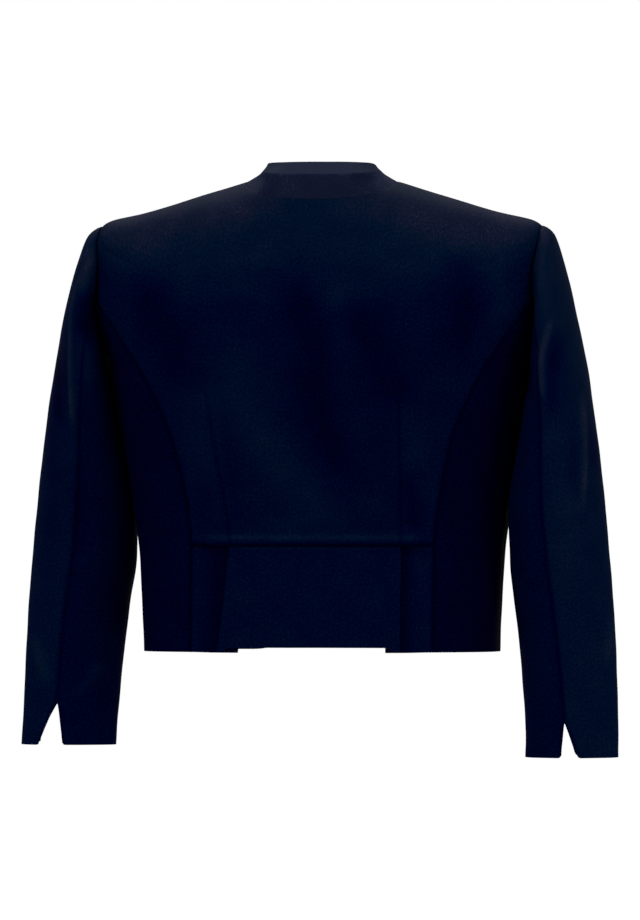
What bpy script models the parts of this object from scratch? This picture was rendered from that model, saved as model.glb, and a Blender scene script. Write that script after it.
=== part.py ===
"""A cropped bolero jacket, filled out as it is worn, with no wearer inside.

Metres, +Z up, the front faces -Y and the wearer's left is +X. The origin is the middle of the neck
opening, level with the shoulder seams' neck ends, where the wearer's shoulders carry the jacket.

The body is one closed shape through the rings of BODY_SECTIONS, and each sleeve one tube through the
rings of SLEEVE_SECTIONS. The panels are cut from those two shapes along the seams.
"""

from collections import namedtuple
from functools import lru_cache
from math import cos, pi, radians, sin

import bmesh
import bpy
import numpy as np

# ---------------------------------------------------------------- driving sizes

BODY_WALL = 0.0018  # shell cloth with its fused interlining
SLEEVE_WALL = 0.0016
COLLAR_WALL = 0.0024  # folded double
PLEAT_WALL = 0.0012  # one layer of the pleated skirt
SEAM_GAP = 0.0003  # between two sewn pieces
SLEEVE_SEAM_GAP = 0.0005  # measured on the inner face, which is curved in where the sleeve is set in

CLOTH_COLOUR = (0.0012, 0.0026, 0.0150, 1.0)
CLOTH_ROUGHNESS = 0.85

BodySection = namedtuple(
    "BodySection",
    "side_z back_z front_z half_width back_y front_y back_square front_square drop",
)
# side_z is the height at the side seam, and further up along the shoulder seam. back_z and front_z are
# the heights on the centre lines. The squares are the powers of the superellipse that the ring follows,
# and drop is the power by which it falls from the side to the centre. All sizes here and in the sleeves
# are those of the cloth's inner face.
BODY_SECTIONS = {
    "hem": BodySection(-0.473, -0.473, -0.473, 0.1765, 0.101, -0.128, 2.5, 2.4, 1.6),
    "hip": BodySection(-0.430, -0.430, -0.430, 0.1782, 0.095, -0.126, 2.5, 2.4, 1.6),
    "waist": BodySection(-0.367, -0.367, -0.367, 0.1822, 0.087, -0.127, 2.4, 2.4, 1.6),
    "ribs": BodySection(-0.312, -0.312, -0.312, 0.1905, 0.091, -0.136, 2.4, 2.4, 1.6),
    "bust": BodySection(-0.262, -0.262, -0.262, 0.1985, 0.099, -0.145, 2.5, 2.4, 1.6),
    "blades": BodySection(-0.215, -0.215, -0.215, 0.2060, 0.106, -0.143, 2.7, 2.5, 1.6),
    "underarm": BodySection(-0.178, -0.178, -0.178, 0.2115, 0.110, -0.134, 3.0, 2.7, 1.6),
    "armhole": BodySection(-0.113, -0.141, -0.150, 0.2280, 0.109, -0.123, 3.4, 3.2, 1.7),
    "shoulder_tip": BodySection(-0.049, -0.105, -0.123, 0.2220, 0.102, -0.113, 3.2, 3.0, 1.8),
    "shoulder_mid": BodySection(-0.0352, -0.078, -0.108, 0.174, 0.095, -0.104, 2.7, 2.7, 1.8),
    "shoulder_in": BodySection(-0.0205, -0.050, -0.092, 0.126, 0.084, -0.091, 2.4, 2.4, 1.5),
    "neck": BodySection(-0.0040, -0.023, -0.075, 0.074, 0.068, -0.073, 2.3, 2.3, 1.0),
}
BODY_LEVELS = {name: level for level, name in enumerate(BODY_SECTIONS)}
HEM = BODY_LEVELS["hem"]
WAIST = BODY_LEVELS["waist"]
UNDERARM = BODY_LEVELS["underarm"]
SHOULDER_TIP = BODY_LEVELS["shoulder_tip"]
NECK = BODY_LEVELS["neck"]

# Places round the body, along a ring from the centre front over the wearer's left side to the back.
CENTRE_FRONT, LEFT_SIDE, CENTRE_BACK = 0.0, 1.0, 2.0

ARMHOLE_BACK = 0.061  # how far the armhole reaches behind the shoulder seam
ARMHOLE_FRONT = 0.058
ARMHOLE_HALF_HEIGHT = (BODY_SECTIONS["shoulder_tip"].side_z - BODY_SECTIONS["underarm"].side_z) / 2
ARMHOLE_MIDDLE_Z = BODY_SECTIONS["underarm"].side_z + ARMHOLE_HALF_HEIGHT
ARMHOLE_INSET = 0.008  # in levels, by which the side back stops short of the armhole's line

SeamPoint = namedtuple("SeamPoint", "z x")
# The curved back seam from the hem up to the armhole, seen from behind.
BACK_SEAM = (
    SeamPoint(-0.480, 0.121),
    SeamPoint(-0.367, 0.121),
    SeamPoint(-0.312, 0.128),
    SeamPoint(-0.256, 0.141),
    SeamPoint(-0.207, 0.163),
    SeamPoint(-0.167, 0.187),
    SeamPoint(-0.130, 0.214),
    SeamPoint(-0.110, 0.229),
)

FRONT_GAP_NECK = 0.009  # from the centre line to the front edge, at the neck and at the hem
FRONT_GAP_HEM = 0.030
FRONT_CORNER_RADIUS = 0.055  # the rounded lower corner of each front

# In levels: where the panels end below the neck's ring, and above and below the waist seam's.
NECK_TRIM = 0.006
WAIST_TRIM = 0.004

SEAM_ROLL = 0.0014  # how far the back's lower edge stands out over the pleats
SEAM_ROLL_FROM, SEAM_ROLL_TO = 0.003, 0.012  # the heights over the waist seam between which it fades
SEAM_ROLL_ROWS = (WAIST_TRIM, 0.05, 0.12, 0.22)

# The pleated skirt below the back waist seam: a flat box pleat between two set-back strips.
PleatEdge = namedtuple("PleatEdge", "waist_x hem_x")
PLEAT_EDGES = {
    "left": PleatEdge(0.0805, 0.0920),
    "right": PleatEdge(0.0880, 0.0885),
}
PLEAT_UNDERLAP = 0.020
PLEAT_PITCH = 0.0022  # from one layer of the fold to the next
PLEAT_FACE_LIFT = 0.0008
PLEAT_SINK_SHARE = 0.8  # the part of each side strip over which it sinks in under the pleat
BACK_HEM_LIFT = 0.0045  # the pleat's middle is shorter than its folded edges
BACK_HEM_LIFT_EDGE = 0.014  # and this far in from each fold it comes down

SleeveSection = namedtuple(
    "SleeveSection", "top_x top_z under_x under_z back_y front_y square"
)
# top is the outer line of the sleeve, from the shoulder tip down, and under the line along the body.
SLEEVE_SECTIONS = {
    "armhole": SleeveSection(0.222, -0.049, 0.212, -0.178, 0.070, -0.064, 2.0),
    "cap": SleeveSection(0.231, -0.056, 0.2140, -0.183, 0.079, -0.070, 2.0),
    "head": SleeveSection(0.241, -0.083, 0.2150, -0.190, 0.084, -0.073, 2.0),
    "upper": SleeveSection(0.252, -0.126, 0.2134, -0.204, 0.086, -0.073, 2.0),
    "biceps": SleeveSection(0.262, -0.177, 0.2085, -0.228, 0.083, -0.071, 2.1),
    "lower_biceps": SleeveSection(0.272, -0.240, 0.2022, -0.268, 0.076, -0.067, 2.1),
    "elbow": SleeveSection(0.2805, -0.308, 0.1935, -0.320, 0.066, -0.061, 2.1),
    "under_elbow": SleeveSection(0.2865, -0.372, 0.1895, -0.378, 0.056, -0.058, 2.1),
    "forearm": SleeveSection(0.2910, -0.432, 0.1945, -0.436, 0.046, -0.056, 2.1),
    "low_forearm": SleeveSection(0.2940, -0.492, 0.2005, -0.494, 0.036, -0.053, 2.1),
    "wrist": SleeveSection(0.2965, -0.552, 0.2055, -0.552, 0.026, -0.049, 2.1),
    "cuff": SleeveSection(0.2975, -0.573, 0.2065, -0.573, 0.022, -0.048, 2.1),
}
SLEEVE_LEVELS = {name: level for level, name in enumerate(SLEEVE_SECTIONS)}
ARMHOLE = SLEEVE_LEVELS["armhole"]
CUFF = SLEEVE_LEVELS["cuff"]
SLEEVE_SEAT_FADE = 2.5  # levels over which the sleeve leaves the armhole's own line
SLEEVE_STAND_TOP = 0.0027  # the sleeve's edge over the body's inner face, on the shoulder
SLEEVE_STAND_UNDER = 0.0046  # and under the arm, where the sleeve's wall turns down beside the body's

SleeveHang = namedtuple("SleeveHang", "length_share back_seam front_seam vent_levels vent_outer vent_under")
# How each sleeve hangs and ends. The seams are places round the cuff, as angles from the outer line. The
# notch in each seam reaches up some levels from the cuff, and its sides lie vent_outer and vent_under
# from the seam's line.
SLEEVE_HANGS = {
    "left": SleeveHang(0.990, radians(77), radians(-65), 1.68, 0.0165, 0.0085),
    "right": SleeveHang(1.011, radians(94), radians(-106), 1.42, 0.0125, 0.0050),
}
SleeveShift = namedtuple("SleeveShift", "level out under back")
# The wearer's left sleeve hangs a little forward and the right one a little back, as arms do at rest.
# out and under shift the sleeve's outer line and its line under the arm, and back shifts it to the back.
SLEEVE_SHIFTS = {
    "left": (
        SleeveShift(0, 0.0, 0.0, 0.0),
        SleeveShift(3, 0.0025, -0.0015, -0.003),
        SleeveShift(4.5, 0.0040, 0.0000, -0.010),
        SleeveShift(6, 0.0055, -0.0004, -0.018),
        SleeveShift(7, 0.0070, 0.0030, -0.024),
        SleeveShift(8, 0.0085, 0.0070, -0.030),
        SleeveShift(CUFF, 0.0100, 0.0085, -0.032),
    ),
    "right": (
        SleeveShift(0, 0.0, 0.0, 0.0),
        SleeveShift(3, 0.0000, -0.0008, 0.005),
        SleeveShift(4.5, 0.0015, -0.0004, 0.014),
        SleeveShift(6, 0.0030, -0.0009, 0.020),
        SleeveShift(7, 0.0020, 0.0030, 0.012),
        SleeveShift(8, 0.0015, 0.0030, 0.002),
        SleeveShift(CUFF, -0.0035, -0.0030, -0.022),
    ),
}
BACK_SEAM_ARMHOLE = radians(106)
FRONT_SEAM_ARMHOLE = radians(-100)

COLLAR_SEAT = 0.0004  # its lower edge stands this far over and inside the neck edge of the panels
CollarEdge = namedtuple("CollarEdge", "place top_z lean")
# The height of the collar's upper edge and how far it leans in from the neck seam, round half the neck.
COLLAR_EDGE = (
    CollarEdge(CENTRE_FRONT, -0.056, 0.010),
    CollarEdge(0.5, -0.028, 0.016),
    CollarEdge(LEFT_SIDE, 0.0125, 0.021),
    CollarEdge(1.3, 0.0145, 0.022),
    CollarEdge(CENTRE_BACK, 0.0150, 0.017),
)
CollarStep = namedtuple("CollarStep", "rise_share back_lean side_lean")
# The collar's run from the seam up to its edge, as shares. It rises first at the back and leans first at
# the sides, where it runs on from the shoulder. The sides begin this far out, as a share of the neck.
COLLAR_SIDE_FROM = 0.5
COLLAR_STEPS = (
    CollarStep(0.0, 0.0, 0.0),
    CollarStep(0.22, 0.06, 0.30),
    CollarStep(0.45, 0.17, 0.58),
    CollarStep(0.66, 0.34, 0.77),
    CollarStep(0.84, 0.62, 0.91),
    CollarStep(1.0, 1.0, 1.0),
)

# Rows and columns of the panels. Two panels that share a seam have the same rows or columns along it.
SKIRT_ROWS = 5
BACK_SEAM_ROWS = 9
ARMHOLE_ROWS = 8
FRONT_ARMHOLE_ROWS = 10
SHOULDER_ROWS = 6
BACK_COLUMNS = 12  # to the centre back
SIDE_COLUMNS = 8
STRIP_COLUMNS = 4  # from the back seam to the pleat's edge
FOLD_STEPS = 4  # round each turn of the pleat
FACE_COLUMNS = 6
FRONT_COLUMNS = 13
CORNER_COLUMNS = 5
TOP_SLEEVE_COLUMNS = 14
UNDER_SLEEVE_COLUMNS = 12
SLEEVE_HEAD_LEVELS = (0.0, 0.3, 0.7, 1.2, 1.8)
SLEEVE_ROWS_BELOW = 9
VENT_ROWS = 2

MERGE = 0.0001
RING_SAMPLES = 360
ARMHOLE_SAMPLES = 160
HALVINGS = 40
OUTWARD, CENTRED, INWARD = 1.0, 0.0, -1.0  # where a wall lies on the surface that it is made from
STEP = 0.02  # for slopes, in levels and in places


# ---------------------------------------------------------------- tables to curves

def smooth_slopes(xs, ys):
    """Slopes at the rows that never overshoot between two rows."""
    xs, ys = np.asarray(xs, float), np.asarray(ys, float)
    width, rise = np.diff(xs), np.diff(ys, axis=0)
    share = rise / width.reshape(-1, *[1] * (ys.ndim - 1))
    slopes = np.empty_like(ys)
    slopes[0], slopes[-1] = share[0], share[-1]
    before, after = share[:-1], share[1:]
    product = before * after
    total = np.where(product > 0, before + after, 1.0)
    slopes[1:-1] = np.where(product > 0, 2 * product / total, 0.0)
    return slopes


def smooth_curve(xs, ys, x):
    """The value at x of the smooth curve through the rows (xs, ys)."""
    xs, ys = np.asarray(xs, float), np.asarray(ys, float)
    slopes = smooth_slopes(xs, ys)
    row = int(np.clip(np.searchsorted(xs, x) - 1, 0, len(xs) - 2))
    width = xs[row + 1] - xs[row]
    t = float(np.clip((x - xs[row]) / width, 0.0, 1.0))
    start, end = ys[row], ys[row + 1]
    return (
        (2 * t**3 - 3 * t**2 + 1) * start
        + (t**3 - 2 * t**2 + t) * width * slopes[row]
        + (3 * t**2 - 2 * t**3) * end
        + (t**3 - t**2) * width * slopes[row + 1]
    )


def smooth_step(x, low, high):
    """0 at low, 1 at high, and smooth between."""
    t = float(np.clip((x - low) / (high - low), 0.0, 1.0))
    return t * t * (3 - 2 * t)


def blend(a, b, share):
    """The value this share of the way from a to b."""
    return a + (b - a) * share


# ---------------------------------------------------------------- the body's shape

BODY_ROWS = np.array(list(BODY_SECTIONS.values()))
BODY_LEVEL_NUMBERS = np.arange(len(BODY_ROWS))


@lru_cache(maxsize=None)
def half_ring(level):
    """The left half of the ring at this level, from the centre front to the centre back.

    Returns the places, 0 to 2 and even along each quarter, with their points, and the two quarters' lengths.
    """
    section = BodySection(*smooth_curve(BODY_LEVEL_NUMBERS, BODY_ROWS, level))
    angle = np.linspace(0.0, pi / 2, RING_SAMPLES)
    places, points, lengths = [], [], []
    for centre_y, centre_z, square, first in (
        (section.front_y, section.front_z, section.front_square, CENTRE_FRONT),
        (section.back_y, section.back_z, section.back_square, LEFT_SIDE),
    ):
        out = np.sin(angle) ** (2 / square)  # 0 at the side, 1 on the centre line
        quarter = np.stack(
            [
                section.half_width * np.cos(angle) ** (2 / square),
                centre_y * out,
                section.side_z + (centre_z - section.side_z) * out**section.drop,
            ],
            axis=1,
        )
        if first == CENTRE_FRONT:
            quarter = quarter[::-1]
        steps = np.linalg.norm(np.diff(quarter, axis=0), axis=1)
        along = np.concatenate([[0.0], np.cumsum(steps)])
        places.append(first + along / along[-1])
        points.append(quarter)
        lengths.append(along[-1])
    return np.concatenate(places), np.concatenate(points), lengths


def on_body(place, level):
    """The point of the body's inner face at a place round it and a level."""
    at = 2 * CENTRE_BACK - place if place > CENTRE_BACK else abs(place)
    places, points, _ = half_ring(round(float(level), 7))
    x, y, z = (np.interp(at, places, points[:, k]) for k in range(3))
    return np.array([x if at == place else -x, y, z])


def body_normal(place, level):
    """The outward direction there."""
    low, high = max(level - STEP, HEM), min(level + STEP, NECK)
    along = on_body(place + STEP, level) - on_body(place - STEP, level)
    up = on_body(place, high) - on_body(place, low)
    normal = np.cross(along, up)
    return normal / np.linalg.norm(normal)


def gap_place(level, side):
    """Half a seam's gap, as a part of a quarter ring."""
    lengths = half_ring(round(float(level), 7))[2]
    return SEAM_GAP / 2 / lengths[1 if side == "back" else 0]


def back_seam_place(level):
    """Where the curved back seam crosses the ring at this level, on the left."""
    places, points, _ = half_ring(round(float(level), 7))
    back = places >= LEFT_SIDE
    places, points = places[back], points[back]
    table = np.array(BACK_SEAM)
    wanted = np.array([smooth_curve(table[:, 0], table[:, 1], z) for z in points[:, 2]])
    beyond = points[:, 0] - wanted  # falls through zero from the side to the back
    return float(np.interp(0.0, -beyond[1:], places[1:]))


def armhole_reach(points):
    """Under 1 inside the armhole's outline as seen from the side, and over 1 outside it."""
    depth = np.where(points[:, 1] > 0, ARMHOLE_BACK, ARMHOLE_FRONT)
    return (points[:, 1] / depth) ** 2 + ((points[:, 2] - ARMHOLE_MIDDLE_Z) / ARMHOLE_HALF_HEIGHT) ** 2


@lru_cache(maxsize=None)
def armhole_place(level, side):
    """Where the armhole's edge crosses the ring at this level, behind or before the side line."""
    if not UNDERARM < level < SHOULDER_TIP:
        return LEFT_SIDE
    places, points, _ = half_ring(round(float(level), 7))
    keep = places >= LEFT_SIDE if side == "back" else places <= LEFT_SIDE
    places, reach = places[keep], armhole_reach(points[keep])
    if side == "front":
        places, reach = places[::-1], reach[::-1]
    first = int(np.argmax(reach > 1.0))
    if first == 0:
        return LEFT_SIDE
    share = (1.0 - reach[first - 1]) / (reach[first] - reach[first - 1])
    return float(blend(places[first - 1], places[first], share))


def armhole_levels(count, low=UNDERARM, high=SHOULDER_TIP):
    """Levels between two that crowd towards both, because the armhole's edge is level there."""
    return [low + (high - low) * (1 - cos(pi * k / count)) / 2 for k in range(count + 1)]


@lru_cache(maxsize=None)
def armhole_table(side):
    """Angles round the armhole from the shoulder tip (0) to the underarm (pi), with place and level."""
    depth = ARMHOLE_BACK if side == "back" else ARMHOLE_FRONT
    rows = []
    for level in armhole_levels(ARMHOLE_SAMPLES):
        place = armhole_place(level, side)
        point = on_body(place, level)
        angle = np.arctan2(abs(point[1]) / depth, (point[2] - ARMHOLE_MIDDLE_Z) / ARMHOLE_HALF_HEIGHT)
        rows.append((angle, place, level))
    rows.sort()
    return np.array(rows)


def on_armhole(angle):
    """The place and level on the armhole's edge at an angle from the shoulder tip, the back positive."""
    angle = (angle + pi) % (2 * pi) - pi
    table = armhole_table("back" if angle >= 0 else "front")
    return (
        float(np.interp(abs(angle), table[:, 0], table[:, 1])),
        float(np.interp(abs(angle), table[:, 0], table[:, 2])),
    )


def seam_meets_armhole():
    """The level at which the curved back seam runs into the armhole."""
    low, high = UNDERARM + STEP, SHOULDER_TIP - STEP
    for _ in range(HALVINGS):
        middle = (low + high) / 2
        if back_seam_place(middle) > armhole_place(middle, "back"):
            low = middle
        else:
            high = middle
    return low


# ---------------------------------------------------------------- from grids to cloth

def cloth_material():
    """The plain navy of the shell cloth."""
    material = bpy.data.materials.new("navy_cloth")
    material.use_nodes = True
    shader = material.node_tree.nodes["Principled BSDF"]
    shader.inputs["Base Color"].default_value = CLOTH_COLOUR
    shader.inputs["Roughness"].default_value = CLOTH_ROUGHNESS
    shader.inputs["Metallic"].default_value = 0.0
    return material


def cloth_panel(name, point_at, across, up, wall, offset=OUTWARD, side="left"):
    """A panel of cloth: a flat grid laid onto point_at(column, row), then given its wall.

    The points are those of the wearer's left. A panel whose side is "fold" is cut on the fold: its last
    column lies on the centre line, and it is mirrored there.
    """
    mesh = bpy.data.meshes.new(name)
    form = bmesh.new()
    bmesh.ops.create_grid(form, x_segments=across, y_segments=up, size=0.5)
    for vert in form.verts:
        column = round((vert.co.x + 0.5) * across)
        row = round((vert.co.y + 0.5) * up)
        vert.co = point_at(column, row)
        if side == "fold" and column == across:
            vert.co.x = 0.0
        if side == "right":
            vert.co.x = -vert.co.x
    if side == "right":
        bmesh.ops.reverse_faces(form, faces=form.faces)
    form.to_mesh(mesh)
    form.free()
    panel = bpy.data.objects.new(name, mesh)
    PIECES.objects.link(panel)
    mesh.materials.append(CLOTH)
    mesh.shade_smooth()
    if side == "fold":
        fold = panel.modifiers.new("fold", "MIRROR")
        fold.use_clip = True
        fold.merge_threshold = MERGE
    thicken = panel.modifiers.new("wall", "SOLIDIFY")
    thicken.thickness = wall
    thicken.offset = offset


# ---------------------------------------------------------------- the body's panels

def seam_shares():
    """Rows up the curved back seam, as shares of its height, with one on the waist seam."""
    waist_share = (WAIST - HEM) / (SEAM_TOP - HEM)
    skirt = np.linspace(0.0, waist_share, SKIRT_ROWS + 1)
    upper = np.linspace(waist_share, 1.0, BACK_SEAM_ROWS + 1)
    return np.concatenate([skirt, upper[1:]])


def back_edge_place(level):
    """The back panel's left edge: the curved seam, then the armhole, then the shoulder seam."""
    if level >= SHOULDER_TIP:
        return LEFT_SIDE + gap_place(level, "back")
    seam = back_seam_place(level) if level <= SEAM_TOP else LEFT_SIDE
    return max(armhole_place(level, "back"), seam) + gap_place(level, "back")


def back_levels():
    """The back's rows, closer together at the rolled waist edge."""
    seam = HEM + (SEAM_TOP - HEM) * seam_shares()[SKIRT_ROWS:]
    edge = [WAIST + rise for rise in SEAM_ROLL_ROWS]
    span = SHOULDER_TIP - SEAM_TOP
    turns = range(1, ARMHOLE_ROWS + 1)
    armhole = [SEAM_TOP + span * sin(pi / 2 * k / ARMHOLE_ROWS) for k in turns]
    return edge + list(seam[1:]) + armhole + shoulder_levels()[1:]


def shoulder_levels():
    """The rows along the shoulder seam, from its tip to the neck."""
    return list(np.linspace(SHOULDER_TIP, NECK - NECK_TRIM, SHOULDER_ROWS + 1))


def make_back():
    """The back above the waist seam, with the lower edge rolled a little outwards."""
    levels = back_levels()

    def point_at(column, row):
        level = levels[row]
        place = blend(back_edge_place(level), CENTRE_BACK, column / BACK_COLUMNS)
        point = on_body(place, level)
        above_seam = point[2] - BODY_SECTIONS["waist"].side_z
        roll = SEAM_ROLL * (1 - smooth_step(above_seam, SEAM_ROLL_FROM, SEAM_ROLL_TO))
        return point + body_normal(place, level) * roll

    cloth_panel("back", point_at, BACK_COLUMNS, len(levels) - 1, BODY_WALL, side="fold")


def armhole_angle(level):
    """The angle round the armhole of the point on its back edge at this level."""
    table = armhole_table("back")
    order = np.argsort(table[:, 2])
    return float(np.interp(level, table[order, 2], table[order, 0]))


def make_side_back(side):
    """The panel between the side seam and the curved back seam, from the hem to the armhole."""
    shares = seam_shares()
    rows = len(shares) - 1
    tip_angle = armhole_angle(SEAM_TOP)

    def point_at(column, row):
        across = column / SIDE_COLUMNS
        top_place, top_level = on_armhole(blend(pi, tip_angle, across))
        inset = 0.0 if column == SIDE_COLUMNS else ARMHOLE_INSET
        level = blend(HEM, top_level - inset, shares[row])
        seam = back_seam_place(level)
        top_seam = back_seam_place(top_level)
        top_across = min((top_place - LEFT_SIDE) / (top_seam - LEFT_SIDE), 1.0)
        share = blend(across, top_across, shares[row] ** 3)
        gap = gap_place(level, "back")
        return on_body(blend(LEFT_SIDE + gap, seam - gap, share), level)

    cloth_panel(f"side_back_{side}", point_at, SIDE_COLUMNS, rows, BODY_WALL, side=side)


def front_edge_x(z):
    """How far the front edge lies from the centre line: it falls open towards the hem."""
    hem_z, neck_z = BODY_SECTIONS["hem"].front_z, BODY_SECTIONS["neck"].front_z
    return blend(FRONT_GAP_HEM, FRONT_GAP_NECK, smooth_step(z, hem_z, neck_z))


def place_at_x(x, level):
    """The place on the front of a ring that lies this far from the centre line."""
    places, points, _ = half_ring(round(float(level), 7))
    return float(np.interp(x, points[:RING_SAMPLES, 0], places[:RING_SAMPLES]))


def front_edge_place(level):
    """The place of the front's edge on the ring at this level."""
    return place_at_x(front_edge_x(half_ring(round(float(level), 7))[1][0, 2]), level)


def hem_corner(turn):
    """The place and level on the front's hem, turn being 0 on the level hem and 1 on the front edge."""
    hem, waist = BODY_SECTIONS["hem"].front_z, BODY_SECTIONS["waist"].front_z
    rise = FRONT_CORNER_RADIUS * (1 - cos(pi / 2 * turn))
    level = WAIST * rise / (waist - hem)
    across = FRONT_CORNER_RADIUS * (1 - sin(pi / 2 * turn))
    return place_at_x(front_edge_x(hem + rise) + across, level), level


def make_front(side):
    """One front, from the rounded hem corner to the shoulder seam, with no closing."""
    levels = list((UNDERARM - HEM) * seam_shares())
    low_rows = len(levels) - 1
    levels += armhole_levels(FRONT_ARMHOLE_ROWS)[1:] + shoulder_levels()[1:]
    corner_place = hem_corner(0.0)[0]

    def hem_point(column):
        if column <= CORNER_COLUMNS:
            return hem_corner(1 - column / CORNER_COLUMNS)
        along = (column - CORNER_COLUMNS) / (FRONT_COLUMNS - CORNER_COLUMNS)
        return blend(corner_place, LEFT_SIDE - gap_place(HEM, "front"), along), HEM

    def point_at(column, row):
        hem_place, hem_level = hem_point(column)
        if row < low_rows:
            level = blend(hem_level, UNDERARM, levels[row] / UNDERARM)
        else:
            level = levels[row]
        outer = armhole_place(level, "front") - gap_place(level, "front")
        even = blend(front_edge_place(level), outer, column / FRONT_COLUMNS)
        if row == 0:
            return on_body(hem_place, hem_level)
        inner_share = (hem_place - hem_corner(1.0)[0]) / (LEFT_SIDE - hem_corner(1.0)[0])
        like_hem = blend(front_edge_place(level), outer, min(inner_share, 1.0))
        if column in (0, FRONT_COLUMNS):
            return on_body(even, level)
        return on_body(blend(like_hem, even, smooth_step(row, 0, low_rows)), level)

    cloth_panel(f"front_{side}", point_at, FRONT_COLUMNS, len(levels) - 1, BODY_WALL, side=side)


# ---------------------------------------------------------------- the pleated skirt

def pleat_fold(edge_x):
    """The skirt's run across its left half, from the back seam to the centre line.

    Each step is (distance from the centre line, depth over the body). The cloth runs in under the box
    pleat, turns back out to its edge, and turns again onto its face.
    """
    under, middle = -2 * PLEAT_PITCH, -PLEAT_PITCH
    radius = PLEAT_PITCH / 2
    inner = edge_x - PLEAT_UNDERLAP
    seam_x = BACK_SEAM[0].x
    half_turn = [pi * k / FOLD_STEPS for k in range(FOLD_STEPS + 1)]
    strip = [k / STRIP_COLUMNS for k in range(STRIP_COLUMNS + 1)]
    face = [k / FACE_COLUMNS for k in range(1, FACE_COLUMNS + 1)]
    run = [(blend(seam_x, edge_x, t), under * smooth_step(t, 0.0, PLEAT_SINK_SHARE)) for t in strip]
    run += [(edge_x - PLEAT_UNDERLAP / 2, under)]
    run += [(inner - radius * sin(a), 1.5 * middle - radius * cos(a)) for a in half_turn]
    run += [(edge_x - PLEAT_UNDERLAP / 2, middle)]
    run += [(edge_x + radius * sin(a), middle / 2 - radius * cos(a)) for a in half_turn]
    run += [(edge_x * (1 - share), PLEAT_FACE_LIFT * share) for share in face]
    return run


def make_skirt():
    """The box-pleated skirt between the two back seams, hung from the waist seam."""
    shares = seam_shares()[: SKIRT_ROWS + 1] / seam_shares()[SKIRT_ROWS]
    half = len(pleat_fold(PLEAT_EDGES["left"].waist_x)) - 1

    def point_at(column, row):
        share = shares[row]
        level = blend(HEM, WAIST - WAIST_TRIM, share)
        on_right = column > half
        step = 2 * half - column if on_right else column
        edge = PLEAT_EDGES["right" if on_right else "left"]
        edge_x = blend(edge.hem_x, edge.waist_x, share)
        across, depth = pleat_fold(edge_x)[step]
        places, points, _ = half_ring(round(float(level), 7))
        place = float(np.interp(-across, -points[RING_SAMPLES:, 0], places[RING_SAMPLES:]))
        if step == 0:
            place = back_seam_place(level) + gap_place(level, "back")
        x, y, z = on_body(place, level) + body_normal(place, level) * (depth + BODY_WALL / 2)
        if step >= half - FACE_COLUMNS:
            inside = smooth_step(edge_x - across, 0.0, BACK_HEM_LIFT_EDGE)
            z += BACK_HEM_LIFT * inside * (1 - share) ** 2
        return (-x if on_right else x, y, z)

    cloth_panel("skirt_back", point_at, 2 * half, SKIRT_ROWS, PLEAT_WALL, CENTRED)


# ---------------------------------------------------------------- the sleeves

SLEEVE_ROWS = np.array(list(SLEEVE_SECTIONS.values()))
SLEEVE_LEVEL_NUMBERS = np.arange(len(SLEEVE_ROWS))


def sleeve_ring_point(angle, level, side):
    """The sleeve's tube at an angle from its outer line and a level, before it meets the body."""
    ring = SleeveSection(*smooth_curve(SLEEVE_LEVEL_NUMBERS, SLEEVE_ROWS, level))
    shifts = np.array(SLEEVE_SHIFTS[side])
    out_shift, under_shift, back_shift = smooth_curve(shifts[:, 0], shifts[:, 1:], level)
    power = 2 / ring.square
    outwards = (1 + np.sign(cos(angle)) * abs(cos(angle)) ** power) / 2
    backwards = np.sign(sin(angle)) * abs(sin(angle)) ** power
    depth = ring.back_y if sin(angle) > 0 else -ring.front_y
    x = blend(ring.under_x + under_shift, ring.top_x + out_shift, outwards)
    z = blend(ring.under_z, ring.top_z, outwards)
    tip_z = SLEEVE_SECTIONS["armhole"].top_z
    grown = blend(1.0, SLEEVE_HANGS[side].length_share, smooth_step(level, ARMHOLE, CUFF))
    return np.array([x, depth * backwards + back_shift, tip_z + (z - tip_z) * grown])


def on_sleeve(angle, level, side):
    """The sleeve's inner face, seated on the armhole's edge at its top."""
    point = sleeve_ring_point(angle, level, side)
    seat = 1 - smooth_step(level, ARMHOLE, SLEEVE_SEAT_FADE)
    if seat > 0:
        place, body_level = on_armhole(angle)
        stand = blend(SLEEVE_STAND_UNDER, SLEEVE_STAND_TOP, (1 + cos(angle)) / 2)
        edge = on_body(place, body_level) + body_normal(place, body_level) * stand
        point = point + (edge - sleeve_ring_point(angle, ARMHOLE, side)) * seat
    return point


def vent_end(seam, width, side):
    """The angle round the cuff that lies this far outwards (or inwards) from a seam, on the same face."""
    turn = 1 if seam > 0 else -1
    goal = on_sleeve(seam, CUFF, side)[0] + width
    low, high = (0.0, abs(seam)) if width > 0 else (abs(seam), pi)
    for _ in range(HALVINGS):
        middle = (low + high) / 2
        if on_sleeve(turn * middle, CUFF, side)[0] > goal:
            low = middle
        else:
            high = middle
    return turn * low


def sleeve_levels(vent_top):
    """The rows of a sleeve, close together over its head and along the cuff's notches."""
    below = np.linspace(SLEEVE_SEAT_FADE, vent_top, SLEEVE_ROWS_BELOW + 1)
    vent = np.linspace(vent_top, CUFF, VENT_ROWS + 1)
    return [*SLEEVE_HEAD_LEVELS, *below, *vent[1:]]


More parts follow.
